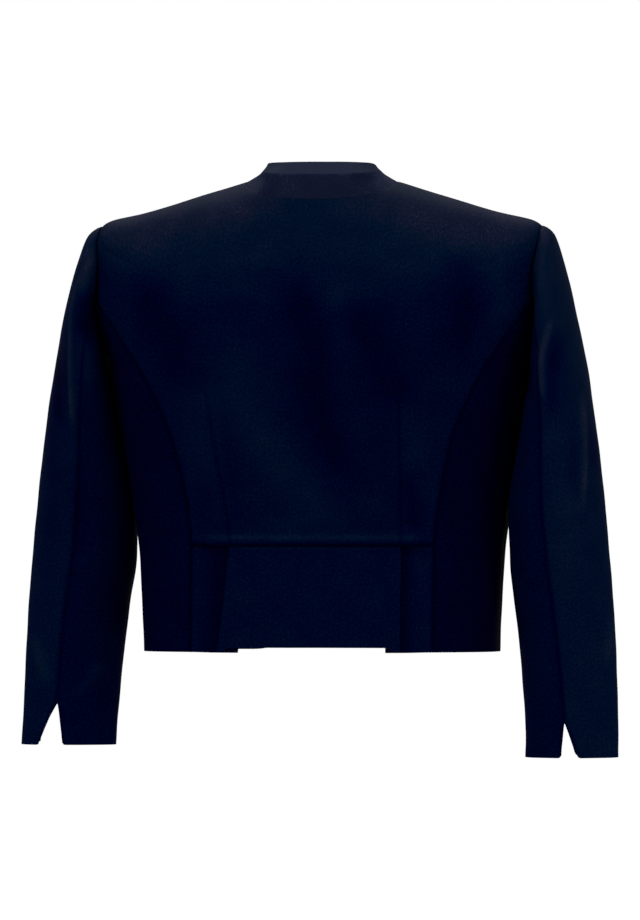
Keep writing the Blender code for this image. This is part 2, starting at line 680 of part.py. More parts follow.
def make_sleeve_panel(name, side, seams, notches, columns):
    """One panel of a sleeve between two seams, which part into notches at the cuff.

    seams holds the angles of the panel's first and last edge, each at the armhole and at the cuff, and
    notches the angles at which those edges reach the cuff.
    """
    vent_top = CUFF - SLEEVE_HANGS[side].vent_levels
    levels = sleeve_levels(vent_top)
    (first_armhole, first_cuff), (last_armhole, last_cuff) = seams

    def angle_at(across, level):
        down = smooth_step(level, ARMHOLE, CUFF)
        first, last = blend(first_armhole, first_cuff, down), blend(last_armhole, last_cuff, down)
        if level > vent_top:
            parted = (level - vent_top) / (CUFF - vent_top)
            first = blend(first, notches[0], parted)
            last = blend(last, notches[1], parted)
        return blend(first, last, across)

    def point_at(column, row):
        level = levels[len(levels) - 1 - row]
        angle = angle_at(column / columns, level)
        point = on_sleeve(angle, level, side)
        if column in (0, columns):
            inwards = on_sleeve(angle + (STEP if column == 0 else -STEP), level, side) - point
            point = point + inwards / np.linalg.norm(inwards) * SLEEVE_SEAM_GAP / 2
        return point

    cloth_panel(name, point_at, columns, len(levels) - 1, SLEEVE_WALL, side=side)


def make_sleeve(side):
    """The two panels of a sleeve, joined at a back seam and a front seam that end in notches."""
    hang = SLEEVE_HANGS[side]
    back = (BACK_SEAM_ARMHOLE, hang.back_seam)
    front = (FRONT_SEAM_ARMHOLE, hang.front_seam)
    round_front = (front[0] + 2 * pi, front[1] + 2 * pi)
    outer = [vent_end(seam[1], hang.vent_outer, side) for seam in (front, back)]
    under = [vent_end(seam[1], -hang.vent_under, side) for seam in (back, front)]
    under[1] += 2 * pi
    make_sleeve_panel(f"sleeve_top_{side}", side, (front, back), outer, TOP_SLEEVE_COLUMNS)
    make_sleeve_panel(f"sleeve_under_{side}", side, (back, round_front), under, UNDER_SLEEVE_COLUMNS)


# ---------------------------------------------------------------- the collar

def make_collar():
    """The standing collar round the neck, whose upper part leans in towards the wearer's neck."""
    table = np.array(COLLAR_EDGE)
    level = shoulder_levels()[-1]
    gap_front, gap_back = gap_place(level, "front"), gap_place(level, "back")
    places = list(np.linspace(front_edge_place(level), LEFT_SIDE - gap_front, FRONT_COLUMNS + 1))
    places += list(np.linspace(LEFT_SIDE + gap_back, CENTRE_BACK, BACK_COLUMNS + 1))

    def point_at(column, row):
        place = places[column]
        top_z, lean = smooth_curve(table[:, 0], table[:, 1:], place)
        step = COLLAR_STEPS[row]
        base = on_body(place, level)
        sideways = smooth_step(abs(base[0]) / BODY_SECTIONS["neck"].half_width, COLLAR_SIDE_FROM, 1.0)
        lean_share = blend(step.back_lean, step.side_lean, sideways)
        inward = np.array([-base[0], -base[1], 0.0])
        inward /= np.linalg.norm(inward)
        point = base + inward * (COLLAR_SEAT + lean * lean_share)
        point[2] += COLLAR_SEAT + (top_z - base[2]) * step.rise_share
        return point

    cloth_panel("collar", point_at, len(places) - 1, len(COLLAR_STEPS) - 1, COLLAR_WALL, INWARD, "fold")


# ---------------------------------------------------------------- the jacket

for old in list(bpy.data.objects):
    bpy.data.objects.remove(old)

PIECES = bpy.data.collections.new("bolero_jacket")
bpy.context.scene.collection.children.link(PIECES)
CLOTH = cloth_material()
SEAM_TOP = seam_meets_armhole()

make_back()
make_skirt()
make_collar()
for jacket_side in ("left", "right"):
    make_side_back(jacket_side)
    make_front(jacket_side)
    make_sleeve(jacket_side)
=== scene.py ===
"""The looks of a cropped navy bolero jacket, filled out as it is worn, with no wearer inside.

Metres, +Z up, the front faces -Y and the wearer's left is +X. Each panel of cloth is a thin shell on the
form of the solid that it replaces, with its seams, darts, pleats and creases, and it is hung in a pale
studio with the camera behind the jacket.
"""

import logging
from abc import ABC, abstractmethod
from dataclasses import dataclass, field
from enum import Enum
from functools import cached_property, lru_cache
from math import cos, pi, radians, sin
from typing import NamedTuple

import bmesh
import bpy
import numpy as np
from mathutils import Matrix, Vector


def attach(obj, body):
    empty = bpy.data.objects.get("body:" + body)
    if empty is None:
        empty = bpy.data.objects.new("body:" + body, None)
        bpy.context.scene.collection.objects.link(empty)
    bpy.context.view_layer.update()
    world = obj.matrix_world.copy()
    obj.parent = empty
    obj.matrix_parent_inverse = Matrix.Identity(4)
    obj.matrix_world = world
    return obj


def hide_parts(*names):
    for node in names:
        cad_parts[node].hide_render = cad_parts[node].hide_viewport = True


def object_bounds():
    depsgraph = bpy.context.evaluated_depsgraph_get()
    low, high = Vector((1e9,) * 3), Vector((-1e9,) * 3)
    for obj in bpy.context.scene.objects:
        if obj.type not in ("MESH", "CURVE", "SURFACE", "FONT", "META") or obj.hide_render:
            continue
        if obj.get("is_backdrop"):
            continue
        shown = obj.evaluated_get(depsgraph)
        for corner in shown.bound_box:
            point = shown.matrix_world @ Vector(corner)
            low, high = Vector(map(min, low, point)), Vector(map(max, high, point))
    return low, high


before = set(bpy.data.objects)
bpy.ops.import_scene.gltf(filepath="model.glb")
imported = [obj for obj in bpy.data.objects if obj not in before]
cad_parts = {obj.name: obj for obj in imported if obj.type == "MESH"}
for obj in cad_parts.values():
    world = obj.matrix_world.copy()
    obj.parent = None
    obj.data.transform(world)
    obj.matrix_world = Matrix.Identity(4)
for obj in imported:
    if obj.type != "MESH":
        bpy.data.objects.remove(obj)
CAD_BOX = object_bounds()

Array = np.ndarray
Line = tuple[tuple[float, float], ...]
BODY = "root"
UV_NAME = "cloth"
# The seam attribute: painted shade that darkens the cloth along its seams.
SEAM_SHADE = "seam_shade"
# The tone attribute, with painted light and shade: lighter where the cloth faces up and on ridges, darker in
# troughs and under other parts.
TONE_WITH_PAINTED_LIGHT = "tone_with_painted_light"
TINY = 1e-12
LOG = logging.getLogger("bolero_jacket")


# ---------------------------------------------------------------- curves


def blend(a: Array, b: Array, share: Array) -> Array:
    """The value this share of the way from a to b."""
    return a + (b - a) * share


def smooth_step(x: Array, low: float, high: float) -> Array:
    """0 at low, 1 at high, and smooth between."""
    t = np.clip((np.asarray(x, float) - low) / (high - low), 0.0, 1.0)
    return t * t * (3 - 2 * t)


def bell(distance: Array, width: Array) -> Array:
    """1 at no distance, and falling to 0 over a few widths."""
    return np.exp(-((distance / width) ** 2))


def unit(vectors: Array) -> Array:
    """The vectors along the last axis, at length 1."""
    return vectors / np.linalg.norm(vectors, axis=-1, keepdims=True)


def crowded(count: int, start: float = 0.0, end: float = 0.0) -> Array:
    """Shares from 0 to 1 that crowd towards the ends.

    Args:
        count: How many steps there are.
        start: How strongly they crowd at 0, from 0 to 1.
        end: The same at 1.

    Returns:
        count + 1 rising shares.
    """
    t = np.linspace(0.0, 1.0, count + 1)
    slow_start = 1 - np.cos(t * pi / 2)
    slow_end = np.sin(t * pi / 2)
    even = max(1.0 - start - end, 0.0)
    return (even * t + start * slow_start + end * slow_end) / (even + start + end)


class SmoothRows:
    """A smooth curve through the rows of a table, which never overshoots between two rows."""

    def __init__(self, at: Array, rows: Array) -> None:
        """Works out the slope at each row.

        Args:
            at: The rising x of each row.
            rows: The rows, with one or more columns.
        """
        self.at = np.asarray(at, float)
        self.rows = np.asarray(rows, float).reshape(len(self.at), -1)
        share = np.diff(self.rows, axis=0) / np.diff(self.at)[:, None]
        before, after = share[:-1], share[1:]
        product = before * after
        total = np.where(product > 0, before + after, 1.0)
        self.slopes = np.empty_like(self.rows)
        self.slopes[0], self.slopes[-1] = share[0], share[-1]
        self.slopes[1:-1] = np.where(product > 0, 2 * product / total, 0.0)

    def __call__(self, x: Array) -> Array:
        """The curve's columns at each x, along a new last axis.

        Args:
            x: Where to read it.

        Returns:
            The columns at each x, held level beyond the first and last row.
        """
        x = np.asarray(x, float)
        row = np.clip(np.searchsorted(self.at, x) - 1, 0, len(self.at) - 2)
        width = (self.at[row + 1] - self.at[row])[..., None]
        t = np.clip((x - self.at[row]) / (self.at[row + 1] - self.at[row]), 0.0, 1.0)[..., None]
        return (
            (2 * t**3 - 3 * t**2 + 1) * self.rows[row]
            + (t**3 - 2 * t**2 + t) * width * self.slopes[row]
            + (3 * t**2 - 2 * t**3) * self.rows[row + 1]
            + (t**3 - t**2) * width * self.slopes[row + 1]
        )


class Side(Enum):
    """The wearer's sides."""

    LEFT = "left"
    RIGHT = "right"


class Face(Enum):
    """Which way the cloth of a crease looks. The value is the sign of y there."""

    BACK = 1
    FRONT = -1


# ---------------------------------------------------------------- the body's form


class BodySection(NamedTuple):
    """One ring of the body, at the cloth's inner face."""

    side_z: float
    back_z: float
    front_z: float
    half_width: float
    back_y: float
    front_y: float
    back_square: float
    front_square: float
    drop: float


# side_z is the height at the side seam and further up along the shoulder seam, back_z and front_z those on
# the centre lines, the squares are the powers of the superellipse, and drop that of its fall to the centre.
BODY_SECTIONS = {
    "hem": BodySection(-0.473, -0.473, -0.473, 0.1765, 0.101, -0.128, 2.5, 2.4, 1.6),
    "hip": BodySection(-0.430, -0.430, -0.430, 0.1782, 0.095, -0.126, 2.5, 2.4, 1.6),
    "waist": BodySection(-0.367, -0.367, -0.367, 0.1822, 0.087, -0.127, 2.4, 2.4, 1.6),
    "ribs": BodySection(-0.312, -0.312, -0.312, 0.1905, 0.091, -0.136, 2.4, 2.4, 1.6),
    "bust": BodySection(-0.262, -0.262, -0.262, 0.1985, 0.099, -0.145, 2.5, 2.4, 1.6),
    "blades": BodySection(-0.215, -0.215, -0.215, 0.2060, 0.106, -0.143, 2.7, 2.5, 1.6),
    "underarm": BodySection(-0.178, -0.178, -0.178, 0.2115, 0.110, -0.134, 3.0, 2.7, 1.6),
    "armhole": BodySection(-0.113, -0.141, -0.150, 0.2280, 0.109, -0.123, 3.4, 3.2, 1.7),
    "shoulder_tip": BodySection(-0.049, -0.105, -0.123, 0.2220, 0.102, -0.113, 3.2, 3.0, 1.8),
    "shoulder_mid": BodySection(-0.0352, -0.078, -0.108, 0.174, 0.095, -0.104, 2.7, 2.7, 1.8),
    "shoulder_in": BodySection(-0.0205, -0.050, -0.092, 0.126, 0.084, -0.091, 2.4, 2.4, 1.5),
    "neck": BodySection(-0.0040, -0.023, -0.075, 0.074, 0.068, -0.073, 2.3, 2.3, 1.0),
}
BODY_LEVELS = {name: level for level, name in enumerate(BODY_SECTIONS)}
HEM = BODY_LEVELS["hem"]
WAIST = BODY_LEVELS["waist"]
UNDERARM = BODY_LEVELS["underarm"]
SHOULDER_TIP = BODY_LEVELS["shoulder_tip"]
NECK = BODY_LEVELS["neck"]
NECK_SEAM = NECK - 0.006

# Places round the body, along a ring from the centre front over the wearer's left side to the back.
CENTRE_FRONT, LEFT_SIDE, CENTRE_BACK = 0.0, 1.0, 2.0


class SeamPoint(NamedTuple):
    """A point of a seam as it is seen from behind."""

    z: float
    x: float


BACK_SEAM = (
    SeamPoint(-0.480, 0.121),
    SeamPoint(-0.367, 0.121),
    SeamPoint(-0.312, 0.128),
    SeamPoint(-0.256, 0.141),
    SeamPoint(-0.207, 0.163),
    SeamPoint(-0.167, 0.187),
    SeamPoint(-0.130, 0.214),
    SeamPoint(-0.110, 0.229),
)


class Ring(NamedTuple):
    """The left half of a ring of the body, from the centre front to the centre back."""

    places: Array
    points: Array
    lengths: tuple[float, float]

    def place_in_front(self, x: Array) -> Array:
        """The places on the front that lie this far from the centre line."""
        front = slice(0, len(self.places) // 2)
        return np.interp(x, self.points[front, 0], self.places[front])

    def place_behind(self, x: Array) -> Array:
        """The places on the back that lie this far from the centre line."""
        back = self.places >= LEFT_SIDE
        return np.interp(-x, -self.points[back, 0], self.places[back])


@dataclass
class BodyForm:
    """The closed form that the body's panels are cut from."""

    armhole_back: float = 0.061
    armhole_front: float = 0.058
    seam_gap: float = 0.0003
    samples: int = 360
    levels_each: int = 60
    places_each: int = 300
    soft_rows: float = 12.0
    soft_reach: int = 3
    slope_step: float = 0.02

    def __post_init__(self) -> None:
        """Fills the table of points that the panels look up."""
        rows = np.array(list(BODY_SECTIONS.values()))
        self.sections = SmoothRows(np.arange(len(rows)), rows)
        seam = np.array(BACK_SEAM)
        self.back_seam_x = SmoothRows(seam[:, 0], seam[:, 1])
        tip, under = BODY_SECTIONS["shoulder_tip"].side_z, BODY_SECTIONS["underarm"].side_z
        self.armhole_middle, self.armhole_half = (tip + under) / 2, (tip - under) / 2
        self.level_step, self.place_step = 1 / self.levels_each, 1 / self.places_each
        self.fine_levels = np.linspace(HEM, NECK, NECK * self.levels_each + 1)
        fine_places = np.linspace(CENTRE_FRONT, CENTRE_BACK, 2 * self.places_each + 1)
        rings = [self.ring(float(level)) for level in self.fine_levels]
        self.table = np.array(
            [[np.interp(fine_places, r.places, r.points[:, k]) for k in range(3)] for r in rings]
        ).transpose(0, 2, 1)
        self._soften()
        self.seam_places = np.array([self._seam_on(r) for r in rings])
        self.quarter_lengths = np.array([r.lengths for r in rings])
        self.seam_top = self._seam_meets_armhole()
        self.armhole_rows = {face: self._armhole_table(face) for face in Face}

    def _soften(self) -> None:
        """Evens out the bends at the rows of the sections, which the shaped rings leave sharp."""
        reach = int(self.soft_reach * self.soft_rows)
        weights = np.exp(-0.5 * (np.arange(-reach, reach + 1) / self.soft_rows) ** 2)
        weights /= weights.sum()
        low, high = self.table[:1], self.table[-1:]
        before = 2 * low - self.table[reach:0:-1]
        after = 2 * high - self.table[-2 : -reach - 2 : -1]
        long = np.concatenate([before, self.table, after])
        rows = len(self.table)
        self.table = sum(weight * long[k : k + rows] for k, weight in enumerate(weights))

    @lru_cache(maxsize=None)
    def ring(self, level: float) -> Ring:
        """The exact half ring at a level, with places from 0 to 2 that are even along each quarter.

        Args:
            level: The level, as a row of the sections' table.

        Returns:
            The ring, with its places, its points and the lengths of its two quarters.
        """
        section = BodySection(*self.sections(level))
        angle = np.linspace(0.0, pi / 2, self.samples)
        places, points, lengths = [], [], []
        for y, z, square, first in (
            (section.front_y, section.front_z, section.front_square, CENTRE_FRONT),
            (section.back_y, section.back_z, section.back_square, LEFT_SIDE),
        ):
            out = np.sin(angle) ** (2 / square)
            across = section.half_width * np.cos(angle) ** (2 / square)
            height = section.side_z + (z - section.side_z) * out**section.drop
            quarter = np.stack([across, y * out, height], axis=1)
            if first == CENTRE_FRONT:
                quarter = quarter[::-1]
            steps = np.linalg.norm(np.diff(quarter, axis=0), axis=1)
            along = np.concatenate([[0.0], np.cumsum(steps)])
            places.append(first + along / along[-1])
            points.append(quarter)
            lengths.append(float(along[-1]))
        return Ring(np.concatenate(places), np.concatenate(points), tuple(lengths))

    def __hash__(self) -> int:
        """Lets the rings be kept."""
        return id(self)

    def point(self, place: Array, level: Array) -> Array:
        """The points of the inner face at places and levels of one shape, along a new last axis.

        Args:
            place: The places round the body.
            level: The level, as a row of the sections' table.

        Returns:
            The points, with x, y and z on a new last axis.
        """
        place, level = np.broadcast_arrays(np.asarray(place, float), np.asarray(level, float))
        on_right = (place > CENTRE_BACK) | (place < CENTRE_FRONT)
        at = np.where(place > CENTRE_BACK, 2 * CENTRE_BACK - place, np.abs(place)) / self.place_step
        up = np.clip(level, HEM, NECK) / self.level_step
        column = np.clip(at.astype(int), 0, self.table.shape[1] - 2)
        row = np.clip(up.astype(int), 0, self.table.shape[0] - 2)
        s, t = (at - column)[..., None], (up - row)[..., None]
        low = blend(self.table[row, column], self.table[row, column + 1], s)
        high = blend(self.table[row + 1, column], self.table[row + 1, column + 1], s)
        found = blend(low, high, t)
        found[..., 0] = np.where(on_right, -found[..., 0], found[..., 0])
        return found

    def normal(self, place: Array, level: Array) -> Array:
        """The outward direction at places and levels.

        Args:
            place: The places round the body.
            level: The level, as a row of the sections' table.

        Returns:
            The directions, at length 1.
        """
        step = self.slope_step
        level = np.asarray(level, float)
        along = self.point(place + step, level) - self.point(place - step, level)
        low, high = np.maximum(level - step, HEM), np.minimum(level + step, NECK)
        up = self.point(place, high) - self.point(place, low)
        return unit(np.cross(along, up))

    def gap(self, level: Array, face: Face) -> Array:
        """Half a seam's gap, as a part of a quarter ring."""
        lengths = self.quarter_lengths[:, 1 if face is Face.BACK else 0]
        return self.seam_gap / 2 / np.interp(level, self.fine_levels, lengths)

    def back_seam(self, level: Array) -> Array:
        """The place where the curved back seam crosses the rings at these levels."""
        return np.interp(level, self.fine_levels, self.seam_places)

    def _seam_on(self, ring: Ring) -> float:
        """The place where the curved back seam crosses a ring.

        Args:
            ring: The exact half ring.

        Returns:
            The place, between the side and the centre back.
        """
        back = ring.places >= LEFT_SIDE
        places, points = ring.places[back], ring.points[back]
        beyond = points[:, 0] - self.back_seam_x(points[:, 2])[:, 0]
        return float(np.interp(0.0, -beyond[1:], places[1:]))

    @lru_cache(maxsize=None)
    def armhole(self, level: float, face: Face) -> float:
        """The place where the armhole's edge crosses the ring at a level.

        Args:
            level: The level, as a row of the sections' table.
            face: The front or the back.

        Returns:
            The place, or the side's own where the ring misses the armhole.
        """
        if not UNDERARM < level < SHOULDER_TIP:
            return LEFT_SIDE
        places, points, _ = self.ring(level)
        keep = places >= LEFT_SIDE if face is Face.BACK else places <= LEFT_SIDE
        places, points = places[keep], points[keep]
        if face is Face.FRONT:
            places, points = places[::-1], points[::-1]
        depth = self.armhole_back if face is Face.BACK else self.armhole_front
        up = (points[:, 2] - self.armhole_middle) / self.armhole_half
        reach = (points[:, 1] / depth) ** 2 + up**2
        first = int(np.argmax(reach > 1.0))
        if first == 0:
            return LEFT_SIDE
        share = (1.0 - reach[first - 1]) / (reach[first] - reach[first - 1])
        return float(blend(places[first - 1], places[first], share))

    def _armhole_table(self, face: Face, rows: int = 240) -> Array:
        """Angles round the armhole from the shoulder tip (0) to the underarm (pi), with place and level.

        Args:
            face: The front or the back.
            rows: How many steps it has.

        Returns:
            Rows of angle, place and level, by rising angle.
        """
        depth = self.armhole_back if face is Face.BACK else self.armhole_front
        found = []
        for level in blend(UNDERARM, SHOULDER_TIP, (1 - np.cos(pi * np.arange(rows + 1) / rows)) / 2):
            place = self.armhole(float(level), face)
            point = self.point(place, level)
            up = (point[2] - self.armhole_middle) / self.armhole_half
            found.append((np.arctan2(abs(point[1]) / depth, up), place, level))
        found.sort()
        return np.array(found)

    def on_armhole(self, angle: Array) -> tuple[Array, Array]:
        """The places and levels on the armhole's edge at angles from the shoulder tip, the back positive.

        Args:
            angle: The angles, from the shoulder tip.

        Returns:
            The places and the levels.
        """
        angle = (np.asarray(angle, float) + pi) % (2 * pi) - pi
        back, front = self.armhole_rows[Face.BACK], self.armhole_rows[Face.FRONT]
        found = []
        for column in (1, 2):
            on_back = np.interp(np.abs(angle), back[:, 0], back[:, column])
            on_front = np.interp(np.abs(angle), front[:, 0], front[:, column])
            found.append(np.where(angle >= 0, on_back, on_front))
        return found[0], found[1]

    def _seam_meets_armhole(self, halvings: int = 40) -> float:
        """The level at which the curved back seam runs into the armhole.

        Args:
            halvings: How often the search halves its range.

        Returns:
            The level.
        """
        low, high = UNDERARM + self.slope_step, SHOULDER_TIP - self.slope_step
        for _ in range(halvings):
            middle = (low + high) / 2
            if self._seam_on(self.ring(middle)) > self.armhole(middle, Face.BACK):
                low = middle
            else:
                high = middle
        return low


# ---------------------------------------------------------------- the sleeves' form


class SleeveSection(NamedTuple):
    """One ring of a sleeve, from its outer line (top) to its line along the body (under)."""

    top_x: float
    top_z: float
    under_x: float
    under_z: float
    back_y: float
    front_y: float
    square: float


SLEEVE_SECTIONS = {
    "armhole": SleeveSection(0.222, -0.049, 0.212, -0.178, 0.070, -0.064, 2.0),
    "cap": SleeveSection(0.231, -0.056, 0.2140, -0.183, 0.079, -0.070, 2.0),
    "head": SleeveSection(0.241, -0.083, 0.2150, -0.190, 0.084, -0.073, 2.0),
    "upper": SleeveSection(0.252, -0.126, 0.2134, -0.204, 0.086, -0.073, 2.0),
    "biceps": SleeveSection(0.262, -0.177, 0.2085, -0.228, 0.083, -0.071, 2.1),
    "lower_biceps": SleeveSection(0.272, -0.240, 0.2022, -0.268, 0.076, -0.067, 2.1),
    "elbow": SleeveSection(0.2805, -0.308, 0.1935, -0.320, 0.066, -0.061, 2.1),
    "under_elbow": SleeveSection(0.2865, -0.372, 0.1895, -0.378, 0.056, -0.058, 2.1),
    "forearm": SleeveSection(0.2910, -0.432, 0.1945, -0.436, 0.046, -0.056, 2.1),
    "low_forearm": SleeveSection(0.2940, -0.492, 0.2005, -0.494, 0.036, -0.053, 2.1),
    "wrist": SleeveSection(0.2965, -0.552, 0.2055, -0.552, 0.026, -0.049, 2.1),
    "cuff": SleeveSection(0.2975, -0.573, 0.2065, -0.573, 0.022, -0.048, 2.1),
}
SLEEVE_LEVELS = {name: level for level, name in enumerate(SLEEVE_SECTIONS)}
ARMHOLE = SLEEVE_LEVELS["armhole"]
CUFF = SLEEVE_LEVELS["cuff"]


class SleeveShift(NamedTuple):
    """How far a sleeve's outer line, its line under the arm, and the whole of it hang off the rings."""

    level: float
    out: float
    under: float
    back: float


@dataclass(frozen=True)
class SleeveHang:
    """How one sleeve hangs, and the notches in which its two seams end at the cuff."""

    length_share: float
    back_seam: float
    front_seam: float
    vent_levels: float
    vent_outer: float
    vent_under: float
    shifts: tuple[SleeveShift, ...]


SLEEVE_HANGS = {
    Side.LEFT: SleeveHang(
        length_share=0.990,
        back_seam=radians(77),
        front_seam=radians(-65),
        vent_levels=1.46,
        vent_outer=0.0165,
        vent_under=0.0085,
        shifts=(
            SleeveShift(0, 0.0, 0.0, 0.0),
            SleeveShift(3, 0.0025, -0.0015, -0.003),
            SleeveShift(4.5, 0.0040, 0.0000, -0.010),
            SleeveShift(6, 0.0055, -0.0004, -0.018),
            SleeveShift(7, 0.0070, 0.0030, -0.024),
            SleeveShift(8, 0.0085, 0.0070, -0.030),
            SleeveShift(CUFF, 0.0100, 0.0085, -0.032),
        ),
    ),
    Side.RIGHT: SleeveHang(
        length_share=1.011,
        back_seam=radians(94),
        front_seam=radians(-106),
        vent_levels=1.30,
        vent_outer=0.0125,
        vent_under=0.0050,
        shifts=(
            SleeveShift(0, 0.0, 0.0, 0.0),
            SleeveShift(3, 0.0000, -0.0008, 0.005),
            SleeveShift(4.5, 0.0015, -0.0004, 0.014),
            SleeveShift(6, 0.0030, -0.0009, 0.020),
            SleeveShift(7, 0.0020, 0.0030, 0.012),
            SleeveShift(8, 0.0015, 0.0030, 0.002),
            SleeveShift(CUFF, -0.0035, -0.0030, -0.022),
        ),
    ),
}


@dataclass
class SleeveForm:
    """The tube that one sleeve's two panels are cut from, on the wearer's left before it is mirrored."""

    body: BodyForm
    hang: SleeveHang
    seat_fade: float = 2.5
    stand_top: float = 0.0027
    stand_under: float = 0.0046
    back_seam_armhole: float = radians(106)
    front_seam_armhole: float = radians(-100)

    def __post_init__(self) -> None:
        """Makes smooth curves of the tables."""
        rows = np.array(list(SLEEVE_SECTIONS.values()))
        self.sections = SmoothRows(np.arange(len(rows)), rows)
        shifts = np.array(self.hang.shifts)
        self.shifts = SmoothRows(shifts[:, 0], shifts[:, 1:])

    def ring(self, angle: Array, level: Array) -> Array:
        """The tube's points at angles from its outer line, before it meets the body.

        Args:
            angle: The angles round the sleeve, from its outer line.
            level: The level, as a row of the sections' table.

        Returns:
            The points, with x, y and z on a new last axis.
        """
        top_x, top_z, under_x, under_z, back_y, front_y, square = np.moveaxis(self.sections(level), -1, 0)
        out, under, back = np.moveaxis(self.shifts(level), -1, 0)
        c, s = np.cos(angle), np.sin(angle)
        outwards = (1 + np.sign(c) * np.abs(c) ** (2 / square)) / 2
        backwards = np.sign(s) * np.abs(s) ** (2 / square)
        depth = np.where(s > 0, back_y, -front_y)
        x = blend(under_x + under, top_x + out, outwards)
        z = blend(under_z, top_z, outwards)
        tip_z = SLEEVE_SECTIONS["armhole"].top_z
        grown = blend(1.0, self.hang.length_share, smooth_step(level, ARMHOLE, CUFF))
        return np.stack([x, depth * backwards + back, tip_z + (z - tip_z) * grown], axis=-1)

    def point(self, angle: Array, level: Array) -> Array:
        """The inner face's points, seated on the armhole's edge at the top.

        Args:
            angle: The angles round the sleeve, from its outer line.
            level: The level, as a row of the sections' table.

        Returns:
            The points, with x, y and z on a new last axis.
        """
        angle, level = np.broadcast_arrays(np.asarray(angle, float), np.asarray(level, float))
        place, body_level = self.body.on_armhole(angle)
        stand = blend(self.stand_under, self.stand_top, (1 + np.cos(angle)) / 2)[..., None]
        edge = self.body.point(place, body_level) + self.body.normal(place, body_level) * stand
        seat = (1 - smooth_step(level, ARMHOLE, self.seat_fade))[..., None]
        at_armhole = self.ring(angle, np.full_like(level, ARMHOLE))
        return self.ring(angle, level) + (edge - at_armhole) * seat

    def vent_end(self, seam: float, width: float, halvings: int = 40) -> float:
        """The angle round the cuff that lies this far outwards (or inwards) from a seam.

        Args:
            seam: The seam's angle at the cuff.
            width: The distance along x, negative inwards.
            halvings: How often the search halves its range.

        Returns:
            The angle, on the same face as the seam.
        """
        turn = 1 if seam > 0 else -1
        goal = self.point(seam, CUFF)[0] + width
        low, high = (0.0, abs(seam)) if width > 0 else (abs(seam), pi)
        for _ in range(halvings):
            middle = (low + high) / 2
            if self.point(turn * middle, CUFF)[0] > goal:
                low = middle
            else:
                high = middle
        return turn * low


# ---------------------------------------------------------------- creases and finish


@dataclass(frozen=True)
class Crease:
    """A soft ridge or trough in the cloth, placed along a line seen from behind or in front.

    path holds (x, z) points, height is above the cloth, or under it if negative, and width is how far it
    spreads, on the line's left and right as one walks along it. fade is the share of its length at each
    end over which it dies out. shine is how strongly its height tells in the cloth's tone: painted light
    on a ridge, painted shade in a trough.
    """

    path: Line
    height: float
    width: float
    right_width: float = 0.0
    fade: float = 0.35
    face: Face = Face.BACK
    shine: float = 1.0
    samples: int = 40
    reach: float = 2.6
    turned: tuple[float, float] = (-0.15, 0.25)

    def line(self) -> Array:
        """The path as a smooth line through its points.

        Returns:
            The line's (x, z) points.
        """
        knots = np.array(self.path)
        if len(knots) == 2:
            return blend(knots[0], knots[1], np.linspace(0, 1, self.samples)[:, None])
        before = np.vstack([2 * knots[0] - knots[1], knots, 2 * knots[-1] - knots[-2]])
        found = []
        for k in range(len(knots) - 1):
            a, b, c, d = before[k : k + 4]
            t = np.linspace(0, 1, self.samples // (len(knots) - 1) + 2)[:, None]
            curve = 2 * b + (c - a) * t + (2 * a - 5 * b + 4 * c - d) * t**2 + (3 * b - a - 3 * c + d) * t**3
            found.append(curve[:-1] / 2)
        return np.vstack([*found, knots[-1:]])

    def relief(self, points: Array, normals: Array) -> Array:
        """How far this crease lifts the cloth at each point.

        Args:
            points: The grid of points, rows by columns by three.
            normals: The outward direction at each point.

        Returns:
            The lift of each point in metres.
        """
        line = self.line()
        reach = self.reach * max(self.width, self.right_width)
        seen = points[..., (0, 2)]
        near = ((seen > line.min(0) - reach) & (seen < line.max(0) + reach)).all(-1)
        near &= self.face.value * normals[..., 1] > self.turned[0]
        found = np.zeros(points.shape[:2])
        if near.any():
            found[near] = self.lift(line, seen[near], normals[near])
        return found

    def lift(self, line: Array, seen: Array, normals: Array) -> Array:
        """The same at points close to the line, given as (x, z).

        Args:
            line: The crease's own line.
            seen: The points as they are seen, (x, z).
            normals: The outward direction at each point.

        Returns:
            The lift of each point in metres.
        """
        start, step = line[:-1], np.diff(line, axis=0)
        lengths = np.linalg.norm(step, axis=1)
        walked = np.concatenate([[0.0], np.cumsum(lengths)])
        seen = seen[:, None, :]
        share = np.clip(((seen - start) * step).sum(-1) / (lengths**2), 0.0, 1.0)
        away = seen - (start + step * share[..., None])
        distance = np.linalg.norm(away, axis=-1)
        nearest = distance.argmin(axis=1)
        row = np.arange(len(nearest))
        distance, share, away = distance[row, nearest], share[row, nearest], away[row, nearest]
        along = (walked[nearest] + share * lengths[nearest]) / walked[-1]
        on_left = step[nearest, 0] * away[:, 1] - step[nearest, 1] * away[:, 0] > 0
        width = np.where(on_left, self.width, self.right_width or self.width)
        ends = smooth_step(along, 0.0, self.fade) * smooth_step(1 - along, 0.0, self.fade)
        facing = smooth_step(self.face.value * normals[:, 1], *self.turned)
        return self.height * bell(distance, width) * ends * facing


def front_crease(path: Line, height: float, width: float, right_width: float = 0.0) -> Crease:
    """A crease that shows from the front."""
    return Crease(path, height, width, right_width, face=Face.FRONT)


class Wave(NamedTuple):
    """One wave of the cloth: its rates across and up, in radians to the metre, and where it starts."""

    across: float
    up: float
    turn: float


@dataclass(frozen=True)
class Unevenness:
    """The slight waviness of any hanging cloth, as a few crossing waves."""

    height: float = 0.00035
    depth_rate: float = 37.0
    waves: tuple[Wave, ...] = (
        Wave(71.0, 43.0, 0.4),
        Wave(-38.0, 92.0, 2.1),
        Wave(127.0, -29.0, 4.2),
        Wave(54.0, 151.0, 1.3),
    )

    def relief(self, points: Array) -> Array:
        """How far the waves lift the cloth at each point.

        Args:
            points: The grid of points, rows by columns by three.

        Returns:
            The lift of each point in metres.
        """
        found = np.zeros(points.shape[:2])
        for wave in self.waves:
            across, up = points[..., 0] * wave.across, points[..., 2] * wave.up
            found += np.sin(across + up + points[..., 1] * self.depth_rate + wave.turn)
        return found * self.height / len(self.waves)


